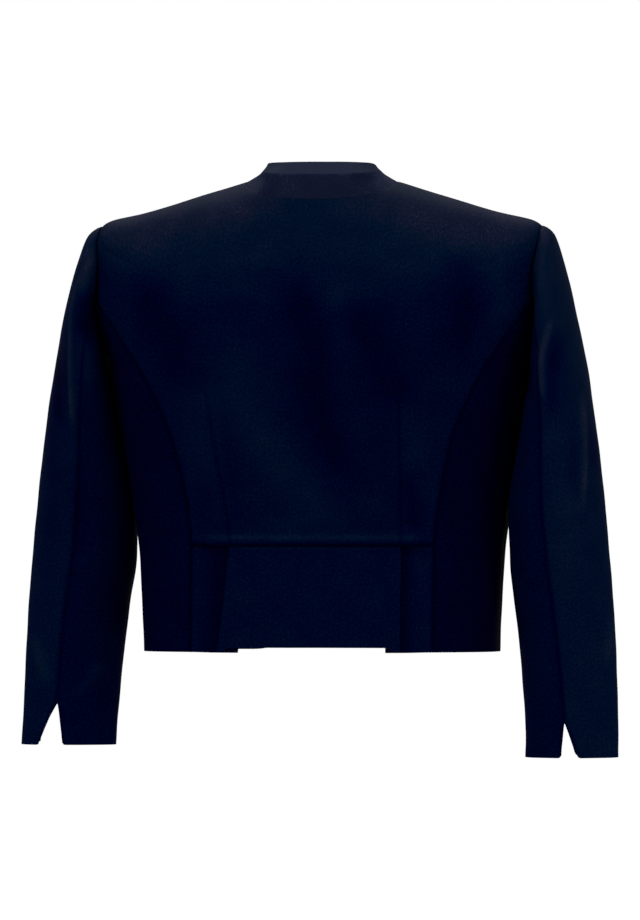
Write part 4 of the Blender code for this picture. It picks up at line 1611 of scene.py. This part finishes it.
@dataclass
class PleatedSkirt(ClothPanel):
    """The back below the waist seam: a flat box pleat between two strips that run in under it."""

    body: BodyForm = field(default_factory=BodyForm)
    name: str = "skirt_back"
    wall: float = 0.0011
    wall_side: Wall = Wall.CENTRED
    seams: tuple[Edge, ...] = (Edge.FIRST_COLUMN, Edge.LAST_COLUMN, Edge.TOP)
    strip_shades: tuple[float, float] = (0.36, 0.36)
    strip_powers: tuple[float, float] = (1.0, 4.0)
    waist_shade: float = 0.30
    waist_shade_width: float = 0.0065
    tone: float = 0.36
    body_wall: float = 0.0018
    left_edge: tuple[float, float] = (0.0805, 0.0920)
    right_edge: tuple[float, float] = (0.0880, 0.0885)
    underlaps: tuple[float, float] = (0.018, 0.011)
    pitch: float = 0.0022
    face_lift: float = 0.0008
    sink_share: float = 0.8
    tuck: float = 0.0020
    tuck_level: float = 0.045
    tuck_steepness: int = 3
    hem_lift: float = 0.0045
    hem_lift_edge: float = 0.014
    rows: int = 46
    row_crowding: float = 0.15
    strip_columns: int = 22
    strip_crowding: float = 0.3
    lap_columns: int = 6
    turn_columns: int = 8
    face_columns: int = 44

    def fold(self, edge_x: float, underlap: float) -> Array:
        """The run across the left half, as distances from the centre line and depths over the body.

        Args:
            edge_x: Where the pleat's edge lies.
            underlap: How far the strip runs in under it.

        Returns:
            The run's points, from the side to the centre.
        """
        under, middle, radius = -2 * self.pitch, -self.pitch, self.pitch / 2
        inner = edge_x - underlap
        strip = crowded(self.strip_columns, self.strip_crowding)
        sunk = under * smooth_step(strip, 0, self.sink_share)
        turn = np.linspace(0, pi, self.turn_columns + 1)
        lap = np.linspace(0, 1, self.lap_columns + 1)[1:-1]
        face = np.linspace(0, 1, self.face_columns + 1)[1:]
        run = [
            np.stack([blend(BACK_SEAM[0].x, edge_x, strip), sunk], 1),
            np.stack([blend(edge_x, inner, lap), np.full(len(lap), under)], 1),
            np.stack([inner - radius * np.sin(turn), (under + middle) / 2 - radius * np.cos(turn)], 1),
            np.stack([blend(inner, edge_x, lap), np.full(len(lap), middle)], 1),
            np.stack([edge_x + radius * np.sin(turn), middle / 2 - radius * np.cos(turn)], 1),
            np.stack([edge_x * (1 - face), self.face_lift * smooth_step(face, 0, 1)], 1),
        ]
        return np.concatenate(run)

    def surface(self) -> Array:
        """Rows from the hem to the waist seam, each folded into the pleat.

        Returns:
            The grid of points, rows by columns by three.
        """
        sides = list(zip((self.left_edge, self.right_edge), self.underlaps, (1, -1)))
        tucked_from, tucked_to = WAIST - self.tuck_level, WAIST + self.tuck_level / self.tuck_steepness
        rows = []
        for share in crowded(self.rows, self.row_crowding, self.row_crowding):
            level = float(blend(HEM, WAIST + self.tuck_level, share))
            tucked = self.tuck * smooth_step(level, tucked_from, tucked_to)
            ring = self.body.ring(level)
            halves = []
            for (waist_x, hem_x), underlap, sign in sides:
                edge_x = float(blend(hem_x, waist_x, share))
                run = self.fold(edge_x, underlap)
                place = ring.place_behind(run[:, 0])
                place[0] = float(self.body.back_seam(level) + self.body.gap(level, Face.BACK))
                out = self.body.normal(place, np.full(len(place), level))
                points = self.body.point(place, level) + out * (run[:, 1:] + self.body_wall / 2 - tucked)
                inside = smooth_step(edge_x - run[:, 0], 0.0, self.hem_lift_edge)
                inside[: -self.face_columns] = 0.0
                points[:, 2] += self.hem_lift * inside * (1 - share) ** 2
                points[:, 0] *= sign
                halves.append(points)
            rows.append(np.concatenate([halves[0], halves[1][::-1][1:]]))
        return np.array(rows)

    def tone_with_painted_light(self, points: Array, normals: Array) -> Array:
        """Shades the strips towards the folds that they run in under.

        Args:
            points: The grid of points, rows by columns by three.
            normals: The outward direction at each point.

        Returns:
            The tone of each point, from 0 to 1.
        """
        strip = smooth_step(np.linspace(0, 1, self.strip_columns + 1), 0.0, 1.0)
        under = 2 * (self.lap_columns - 1) + self.turn_columns + 1
        edge = smooth_step(np.linspace(1, 0, self.turn_columns + 1), 0.0, 1.0)
        half = np.concatenate([strip, np.ones(under), edge, np.zeros(self.face_columns)])
        left, right = (shade * half**power for shade, power in zip(self.strip_shades, self.strip_powers))
        near = bell(self.from_edge(points, Edge.TOP), self.waist_shade_width)
        found = super().tone_with_painted_light(points, normals) - self.waist_shade * near
        return found - np.concatenate([left, right[::-1][1:]])

    def relief(self, points: Array, normals: Array) -> Array:
        """Leaves the layers of the folds alone, which lie close on each other.

        Args:
            points: The grid of points, rows by columns by three.
            normals: The outward direction at each point.

        Returns:
            The lift of each point in metres.
        """
        found = super().relief(points, normals)
        start = points.shape[1] // 2 - self.face_columns
        stop = points.shape[1] // 2 + self.face_columns + 1
        found[:, self.strip_columns // 2 : start] = 0.0
        found[:, stop : points.shape[1] - self.strip_columns // 2] = 0.0
        return found


@dataclass
class SleevePanel(ClothPanel):
    """One of the two panels of a sleeve, between two seams that part into notches at the cuff."""

    form: SleeveForm | None = None
    side: Side = Side.LEFT
    under: bool = False
    wall: float = 0.0014
    # The sleeves' painted light where they face up, and their crease height for painted light on ridges and
    # painted shade in troughs.
    tone_height: float = 0.0060
    painted_slope_light: float = 0.13
    painted_top_light: float = 0.10
    seams: tuple[Edge, ...] = (Edge.FIRST_COLUMN, Edge.LAST_COLUMN, Edge.TOP)
    seam_gap: float = 0.0002
    under_spread: float = 0.7
    gap_limit: int = 3
    armhole_lap: float = 0.0009
    head_rows: int = 56
    arm_rows: int = 150
    vent_rows: int = 34
    end_crowding: float = 0.3
    top_columns: int = 148
    under_columns: int = 100
    column_crowding: float = 0.22
    corner: float = 0.0025
    corner_power: int = 3

    def edges(self) -> tuple[tuple[float, float, float], tuple[float, float, float]]:
        """The angles of the first and last edge, each at the armhole, at the cuff and in its notch.

        Returns:
            The three angles of the first edge, and those of the last.
        """
        form, hang = self.form, self.form.hang
        back = (form.back_seam_armhole, hang.back_seam)
        front = (form.front_seam_armhole, hang.front_seam)
        if not self.under:
            ends = [form.vent_end(seam[1], hang.vent_outer) for seam in (front, back)]
            return (*front, ends[0]), (*back, ends[1])
        ends = [form.vent_end(seam[1], -hang.vent_under) for seam in (back, front)]
        return (*back, ends[0]), (front[0] + 2 * pi, front[1] + 2 * pi, ends[1] + 2 * pi)

    def surface(self) -> Array:
        """Rows from the cuff up to the armhole.

        Returns:
            The grid of points, rows by columns by three.
        """
        vent_top = CUFF - self.form.hang.vent_levels
        head = blend(ARMHOLE, self.form.seat_fade, crowded(self.head_rows, start=self.end_crowding))
        below = blend(self.form.seat_fade, vent_top, crowded(self.arm_rows))
        vent = blend(vent_top, CUFF, crowded(self.vent_rows, end=self.end_crowding))
        level = np.concatenate([head, below[1:], vent[1:]])[::-1][:, None]
        down = smooth_step(level, ARMHOLE, CUFF)
        height = self.form.sections(level)[..., 1]
        top_z = float(self.form.sections(vent_top)[1])
        parted = np.clip((top_z - height) / (top_z - SLEEVE_SECTIONS["cuff"].top_z), 0.0, 1.0)
        parted = parted ** (self.under_spread if self.under else 1.0)
        (first_top, first_cuff, first_end), (last_top, last_cuff, last_end) = self.edges()
        first = blend(blend(first_top, first_cuff, down), first_end, parted)
        last = blend(blend(last_top, last_cuff, down), last_end, parted)
        columns = self.under_columns if self.under else self.top_columns
        angle = blend(first, last, crowded(columns, self.column_crowding, self.column_crowding)[None, :])
        level = level + np.zeros_like(angle)
        points = self.form.point(angle, self.rounded(level, angle, vent_top))
        for column, towards in ((0, 1), (-1, -2)):
            inwards = points[:, towards] - points[:, column]
            length = np.linalg.norm(inwards, axis=-1, keepdims=True)
            gap = min(self.seam_gap / 2, float(length.min()) / self.gap_limit)
            points[:, column] += inwards / length * gap
        points[-1] += unit(points[-1] - points[-2]) * self.armhole_lap
        return on_side(points, self.side)

    def rounded(self, level: Array, angle: Array, vent_top: float) -> Array:
        """The levels, drawn up where the cuff's corners are rounded beside the notches.

        Args:
            level: The levels before that.
            angle: The angles round the sleeve, from its outer line.
            vent_top: The level at which the notches start.

        Returns:
            The levels of the grid.
        """
        cuff = self.form.point(angle[0], np.full(angle.shape[1], float(CUFF)))
        steps = np.concatenate([[0.0], np.cumsum(np.linalg.norm(np.diff(cuff, axis=0), axis=-1))])
        near = np.minimum(steps, steps[-1] - steps)
        short = np.clip(self.corner - near, 0.0, None)
        rise = self.corner - np.sqrt(np.clip(self.corner**2 - short**2, 0.0, None))
        per_level = SLEEVE_SECTIONS["wrist"].top_z - SLEEVE_SECTIONS["cuff"].top_z
        share = np.clip((level - vent_top) / (CUFF - vent_top), 0.0, 1.0) ** self.corner_power
        return level - rise[None, :] / per_level * share


LEFT_SLEEVE_CREASES = (
    Crease(((0.2200, -0.070), (0.2262, -0.085), (0.2330, -0.104), (0.2400, -0.124)), 0.0014, 0.0028, 0.0050),
    Crease(((0.2239, -0.070), (0.2330, -0.083), (0.2375, -0.096)), 0.0010, 0.0036),
    Crease(
        ((0.2350, -0.106), (0.2410, -0.132), (0.2416, -0.166), (0.2424, -0.202), (0.2422, -0.254)),
        0.0019, 0.0018, 0.0022, 0.15, shine=1.05,
    ),
    Crease(((0.2250, -0.106), (0.2285, -0.136), (0.2300, -0.168)), -0.0026, 0.0090),
    Crease(((0.2560, -0.150), (0.2580, -0.200), (0.2560, -0.262)), -0.0022, 0.0080),
    Crease(((0.2258, -0.160), (0.2258, -0.190), (0.2265, -0.218)), 0.0016, 0.0065),
    Crease(((0.2690, -0.215), (0.2640, -0.300), (0.2660, -0.390)), -0.0006, 0.0110, 0.0110, 0.30),
    Crease(((0.2430, -0.275), (0.2400, -0.330), (0.2440, -0.385)), -0.0009, 0.0090),
    Crease(((0.2930, -0.446), (0.2830, -0.487), (0.2720, -0.512)), 0.0012, 0.0060),
    Crease(((0.2520, -0.522), (0.2360, -0.502), (0.2190, -0.478)), 0.0013, 0.0055),
    front_crease(((0.2620, -0.110), (0.2680, -0.170), (0.2710, -0.230)), 0.0014, 0.0090),
    front_crease(((0.2400, -0.120), (0.2460, -0.160), (0.2430, -0.215)), -0.0020, 0.0080),
    front_crease(((0.2150, -0.225), (0.2360, -0.262), (0.2620, -0.285)), 0.0022, 0.0060, 0.0090),
    front_crease(((0.2100, -0.300), (0.2320, -0.322), (0.2500, -0.328)), 0.0018, 0.0055, 0.0080),
    front_crease(((0.2620, -0.340), (0.2500, -0.395), (0.2560, -0.450)), -0.0014, 0.0100),
)
RIGHT_SLEEVE_CREASES = (
    Crease(
        ((-0.2330, -0.048), (-0.2462, -0.063), (-0.2497, -0.076), (-0.2520, -0.100)),
        0.0014, 0.0032, 0.0050,
    ),
    Crease(
        ((-0.2410, -0.136), (-0.2360, -0.157), (-0.2325, -0.176), (-0.2318, -0.198), (-0.2345, -0.228)),
        0.0022, 0.0032, 0.0028, 0.20, shine=0.9,
    ),
    Crease(((-0.2475, -0.142), (-0.2440, -0.170), (-0.2405, -0.215), (-0.2400, -0.252)), -0.0019, 0.0080),
    Crease(((-0.2160, -0.152), (-0.2140, -0.170), (-0.2165, -0.186)), 0.0010, 0.0040),
    Crease(((-0.2200, -0.180), (-0.2180, -0.205), (-0.2200, -0.230)), -0.0010, 0.0045),
    Crease(
        ((-0.2645, -0.206), (-0.2676, -0.239), (-0.2697, -0.267), (-0.2697, -0.301), (-0.2686, -0.338)),
        0.0018, 0.0028, 0.0024, 0.25, shine=1.0,
    ),
    Crease(((-0.2590, -0.235), (-0.2610, -0.275), (-0.2590, -0.325)), -0.0006, 0.0070),
    Crease(((-0.2735, -0.240), (-0.2760, -0.270), (-0.2775, -0.300)), -0.0011, 0.0045),
    Crease(((-0.2480, -0.290), (-0.2560, -0.345), (-0.2540, -0.400)), 0.0006, 0.0110),
    Crease(((-0.2950, -0.426), (-0.2900, -0.455), (-0.2860, -0.495)), 0.0012, 0.0050),
    front_crease(((-0.2620, -0.120), (-0.2660, -0.170), (-0.2680, -0.240)), 0.0014, 0.0090),
    front_crease(((-0.2420, -0.130), (-0.2460, -0.175), (-0.2420, -0.230)), -0.0019, 0.0085),
    front_crease(((-0.2140, -0.240), (-0.2340, -0.272), (-0.2600, -0.300)), 0.0021, 0.0060, 0.0090),
    front_crease(((-0.2100, -0.318), (-0.2300, -0.336), (-0.2520, -0.340)), 0.0016, 0.0055, 0.0080),
    front_crease(((-0.2560, -0.380), (-0.2500, -0.430), (-0.2540, -0.490)), -0.0012, 0.0100),
)
SLEEVE_CREASES = {Side.LEFT: LEFT_SLEEVE_CREASES, Side.RIGHT: RIGHT_SLEEVE_CREASES}
FRONT_CREASES = {
    Side.LEFT: (
        front_crease(((0.168, -0.086), (0.150, -0.140), (0.128, -0.190)), -0.0026, 0.018),
        front_crease(((0.120, -0.110), (0.112, -0.190), (0.118, -0.270)), 0.0022, 0.018),
        front_crease(((0.060, -0.170), (0.075, -0.260), (0.088, -0.350)), -0.0022, 0.020),
        front_crease(((0.050, -0.300), (0.046, -0.380), (0.052, -0.450)), 0.0016, 0.014),
        front_crease(((0.140, -0.300), (0.132, -0.370), (0.138, -0.440)), 0.0014, 0.016),
    ),
    Side.RIGHT: (
        front_crease(((-0.166, -0.080), (-0.154, -0.135), (-0.134, -0.196)), -0.0028, 0.017),
        front_crease(((-0.126, -0.120), (-0.108, -0.200), (-0.112, -0.285)), 0.0019, 0.020),
        front_crease(((-0.064, -0.160), (-0.070, -0.245), (-0.082, -0.330)), -0.0020, 0.022),
        front_crease(((-0.046, -0.290), (-0.052, -0.370), (-0.046, -0.440)), 0.0015, 0.015),
        front_crease(((-0.136, -0.320), (-0.142, -0.385), (-0.134, -0.450)), 0.0013, 0.016),
    ),
}


class CollarEdge(NamedTuple):
    """The collar's upper edge at a place round the neck: its height, and how far it leans in."""

    place: float
    top_z: float
    lean: float


@dataclass
class Collar(ClothPanel):
    """The standing collar, whose upper part folds in towards the wearer's neck."""

    body: BodyForm = field(default_factory=BodyForm)
    name: str = "collar"
    wall: float = 0.0022
    wall_side: Wall = Wall.INWARD
    seat: float = 0.0004
    outwards: float = 0.0011
    side_from: float = 0.5
    front_gap: float = 0.009
    # The collar's high tone and its fold light are painted light on its top, which faces up.
    tone: float = 0.86
    painted_slope_light: float = 0.02
    painted_top_light: float = 0.09
    top_light_from: tuple[float, float] = (0.25, 0.70)
    painted_fold_light: float = 0.17
    fold_from: tuple[float, float] = (0.50, 0.66)
    finish: NavyCrepe = field(default_factory=lambda: NavyCrepe(name="navy_crepe_collar", grain_share=0.95))
    top: tuple[CollarEdge, ...] = (
        CollarEdge(CENTRE_FRONT, -0.056, 0.010),
        CollarEdge(0.5, -0.028, 0.016),
        CollarEdge(LEFT_SIDE, 0.0125, 0.021),
        CollarEdge(1.3, 0.0145, 0.022),
        CollarEdge(CENTRE_BACK, 0.0150, 0.017),
    )
    rise: tuple[float, ...] = (0.0, 0.22, 0.45, 0.62, 0.68, 0.74, 0.87, 1.0)
    back_lean: tuple[float, ...] = (0.0, 0.05, 0.13, 0.21, 0.27, 0.40, 0.70, 1.0)
    side_lean: tuple[float, ...] = (0.0, 0.30, 0.58, 0.73, 0.78, 0.83, 0.93, 1.0)
    half_columns: tuple[int, int] = (52, 60)
    front_crowding: float = 0.2
    rows: int = 44
    row_crowding: float = 0.15

    def tone_with_painted_light(self, points: Array, normals: Array) -> Array:
        """Adds the light on the part that folds in."""
        folded = smooth_step(crowded(self.rows, self.row_crowding, self.row_crowding), *self.fold_from)
        return super().tone_with_painted_light(points, normals) + self.painted_fold_light * folded[:, None]

    def surface(self) -> Array:
        """Rows from the neck seam up to the edge, all round from one front end to the other.

        Returns:
            The grid of points, rows by columns by three.
        """
        start = float(self.body.ring(float(NECK_SEAM)).place_in_front(self.front_gap))
        first = blend(start, LEFT_SIDE, crowded(self.half_columns[0], self.front_crowding))
        second = blend(LEFT_SIDE, CENTRE_BACK, crowded(self.half_columns[1]))
        left = np.concatenate([first, second[1:]])
        places = np.concatenate([left, 2 * CENTRE_BACK - left[::-1][1:]])
        table = np.array(self.top)
        on_left = np.where(places > CENTRE_BACK, 2 * CENTRE_BACK - places, places)
        edge = SmoothRows(table[:, 0], table[:, 1:])(on_left)
        base = self.body.point(places, NECK_SEAM)
        inward = unit(-base * (1, 1, 0))
        sideways = smooth_step(np.abs(base[:, 0]) / BODY_SECTIONS["neck"].half_width, self.side_from, 1.0)
        run = crowded(self.rows, self.row_crowding, self.row_crowding)[:, None]
        steps = np.linspace(0, 1, len(self.rise))
        curves = (self.rise, self.back_lean, self.side_lean)
        rise, back, side = (SmoothRows(steps, curve)(run)[..., 0] for curve in curves)
        lean = edge[None, :, 1] * blend(back, side, sideways[None, :])
        points = base[None] + inward[None] * (lean - self.outwards)[..., None]
        points[..., 2] += self.seat + (edge[None, :, 0] - base[None, :, 2]) * rise
        return points


# ---------------------------------------------------------------- the studio


@dataclass(frozen=True)
class Softbox:
    """One large soft lamp, aimed at the jacket."""

    name: str
    place: tuple[float, float, float]
    size: tuple[float, float]
    watts: float
    aim: tuple[float, float, float] = (0.0, 0.0, -0.25)

    def build(self) -> bpy.types.Object:
        """Hangs the lamp.

        Returns:
            The lamp's object.
        """
        lamp = bpy.data.lights.new(self.name, "AREA")
        lamp.shape = "RECTANGLE"
        lamp.size, lamp.size_y = self.size
        lamp.energy = self.watts
        held = bpy.data.objects.new(self.name, lamp)
        held.location = self.place
        held.rotation_euler = (Vector(self.aim) - held.location).to_track_quat("-Z", "Y").to_euler()
        bpy.context.scene.collection.objects.link(held)
        return held


@dataclass(frozen=True)
class PaleStudio:
    """White surroundings, a pale floor below the cuffs, and soft light from above."""

    floor_z: float = -0.78
    floor_size: float = 6.0
    floor_colour: tuple[float, float, float, float] = (0.86, 0.86, 0.86, 1.0)
    floor_light: tuple[float, float, float, float] = (0.90, 0.90, 0.90, 1.0)
    floor_grain: float = 3.0
    floor_rough: float = 0.9
    floor_specular: float = 0.1
    surround: float = 1.0
    surround_colour: tuple[float, float, float, float] = (1.0, 1.0, 1.0, 1.0)
    lamps: tuple[Softbox, ...] = (
        Softbox("overhead", (0.1, 1.5, 2.9), (2.6, 1.6), 165.0),
        Softbox("behind_left", (2.6, 1.7, 0.5), (1.2, 1.8), 60.0),
        Softbox("behind_right", (-2.6, 1.7, 0.5), (1.2, 1.8), 80.0),
        Softbox("front_fill", (0.4, -2.6, 2.0), (2.0, 1.4), 240.0),
    )

    def build(self) -> None:
        """Sets the surroundings, the floor and the lamps."""
        scene = bpy.context.scene
        scene.world = scene.world or bpy.data.worlds.new("studio")
        scene.world.use_nodes = True
        around = scene.world.node_tree.nodes["Background"]
        around.inputs["Color"].default_value = self.surround_colour
        around.inputs["Strength"].default_value = self.surround
        scene.view_settings.view_transform = "Standard"
        form = bmesh.new()
        bmesh.ops.create_grid(form, x_segments=1, y_segments=1, size=self.floor_size / 2)
        bmesh.ops.translate(form, vec=(0, 0, self.floor_z), verts=form.verts)
        mesh = bpy.data.meshes.new("floor")
        form.to_mesh(mesh)
        form.free()
        floor = bpy.data.objects.new("floor", mesh)
        scene.collection.objects.link(floor)
        material = bpy.data.materials.new("pale_floor")
        material.use_nodes = True
        nodes = NodeKit(material.node_tree)
        shader = material.node_tree.nodes["Principled BSDF"]
        shader.inputs["Roughness"].default_value = self.floor_rough
        shader.inputs["Specular IOR Level"].default_value = self.floor_specular
        place = nodes.add("ShaderNodeTexCoord")
        grain = nodes.add("ShaderNodeTexNoise", Vector=place.outputs["Object"], Scale=self.floor_grain)
        tone = nodes.add("ShaderNodeMix")
        tone.data_type = "RGBA"
        nodes.join(grain.outputs["Fac"], tone.inputs["Factor"])
        tone.inputs["A"].default_value = self.floor_colour
        tone.inputs["B"].default_value = self.floor_light
        nodes.join(tone.outputs["Result"], shader.inputs["Base Color"])
        mesh.materials.append(material)
        floor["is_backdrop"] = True
        for lamp in self.lamps:
            lamp.build()


@dataclass(frozen=True)
class PhotoCamera:
    """A long lens behind the jacket, level with its middle and turned a little to its left."""

    azimuth: float = radians(187.5)
    centre: tuple[float, float, float] = (0.002, 0.0, -0.282)
    view_height: float = 0.920
    distance: float = 12.0
    sensor: float = 36.0
    clip_share: float = 10.0

    def build(self) -> bpy.types.Object:
        """Sets the camera up and makes it the scene's own.

        Returns:
            The camera's object.
        """
        lens = bpy.data.cameras.new("photo_camera")
        lens.sensor_width = self.sensor
        lens.lens = self.sensor * self.distance / self.view_height
        lens.clip_end = self.distance * self.clip_share
        camera = bpy.data.objects.new("photo_camera", lens)
        back = Vector((sin(self.azimuth), -cos(self.azimuth), 0.0))
        camera.location = Vector(self.centre) + back * self.distance
        camera.rotation_euler = (-back).to_track_quat("-Z", "Y").to_euler()
        bpy.context.scene.collection.objects.link(camera)
        bpy.context.scene.camera = camera
        return camera


# ---------------------------------------------------------------- the jacket


class SideTones(NamedTuple):
    """How light the panels of one side are, as the light falls on them in the photo."""

    side_back: float
    side_shade: float
    sleeve_top: float
    sleeve_under: float


SIDE_TONES = {
    Side.LEFT: SideTones(side_back=0.15, side_shade=0.12, sleeve_top=0.46, sleeve_under=0.24),
    Side.RIGHT: SideTones(side_back=0.09, side_shade=0.26, sleeve_top=0.54, sleeve_under=0.31),
}


@dataclass
class BoleroJacket:
    """The whole jacket, in the order in which it would be sewn."""

    body: BodyForm = field(default_factory=BodyForm)

    def panels(self) -> list[ClothPanel]:
        """Every panel of cloth.

        Returns:
            The panels, in the order in which they are built.
        """
        found: list[ClothPanel] = [
            BackPanel(body=self.body, hung_from=("collar",)),
            PleatedSkirt(body=self.body, hung_from=("back",)),
            Collar(body=self.body, hung_from=("back",)),
        ]
        for side in Side:
            end, tones = side.value, SIDE_TONES[side]
            shared = {"body": self.body, "side": side, "hung_from": ("back",)}
            side_back = SideBackPanel(name=f"side_back_{end}", **shared)
            side_back.tone, side_back.side_shade = tones.side_back, tones.side_shade
            found += [side_back, FrontPanel(name=f"front_{end}", creases=FRONT_CREASES[side], **shared)]
            form = SleeveForm(self.body, SLEEVE_HANGS[side])
            for under, cut, tone in ((False, "top", tones.sleeve_top), (True, "under", tones.sleeve_under)):
                panel = SleevePanel(name=f"sleeve_{cut}_{end}", form=form, side=side, under=under, tone=tone)
                panel.creases, panel.hung_from = SLEEVE_CREASES[side], ("back", f"front_{end}")
                found.append(panel)
        return found

    def build(self) -> None:
        """Makes every panel."""
        for panel in self.panels():
            piece = panel.build()
            LOG.info("%s: %d faces before its wall", piece.name, len(piece.data.polygons))


def write_sizes() -> None:
    """Works out the solids' box and the dressed jacket's box."""
    boxes = {"cad": CAD_BOX, "visual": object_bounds()}
    {name: [list(corner) for corner in box] for name, box in boxes.items()}


def main() -> None:
    """Builds the camera, the studio and the jacket."""
    logging.basicConfig(level=logging.INFO, format="%(name)s: %(message)s")
    PhotoCamera().build()
    PaleStudio().build()
    BoleroJacket().build()
    write_sizes()


if __name__ == "__main__":
    main()
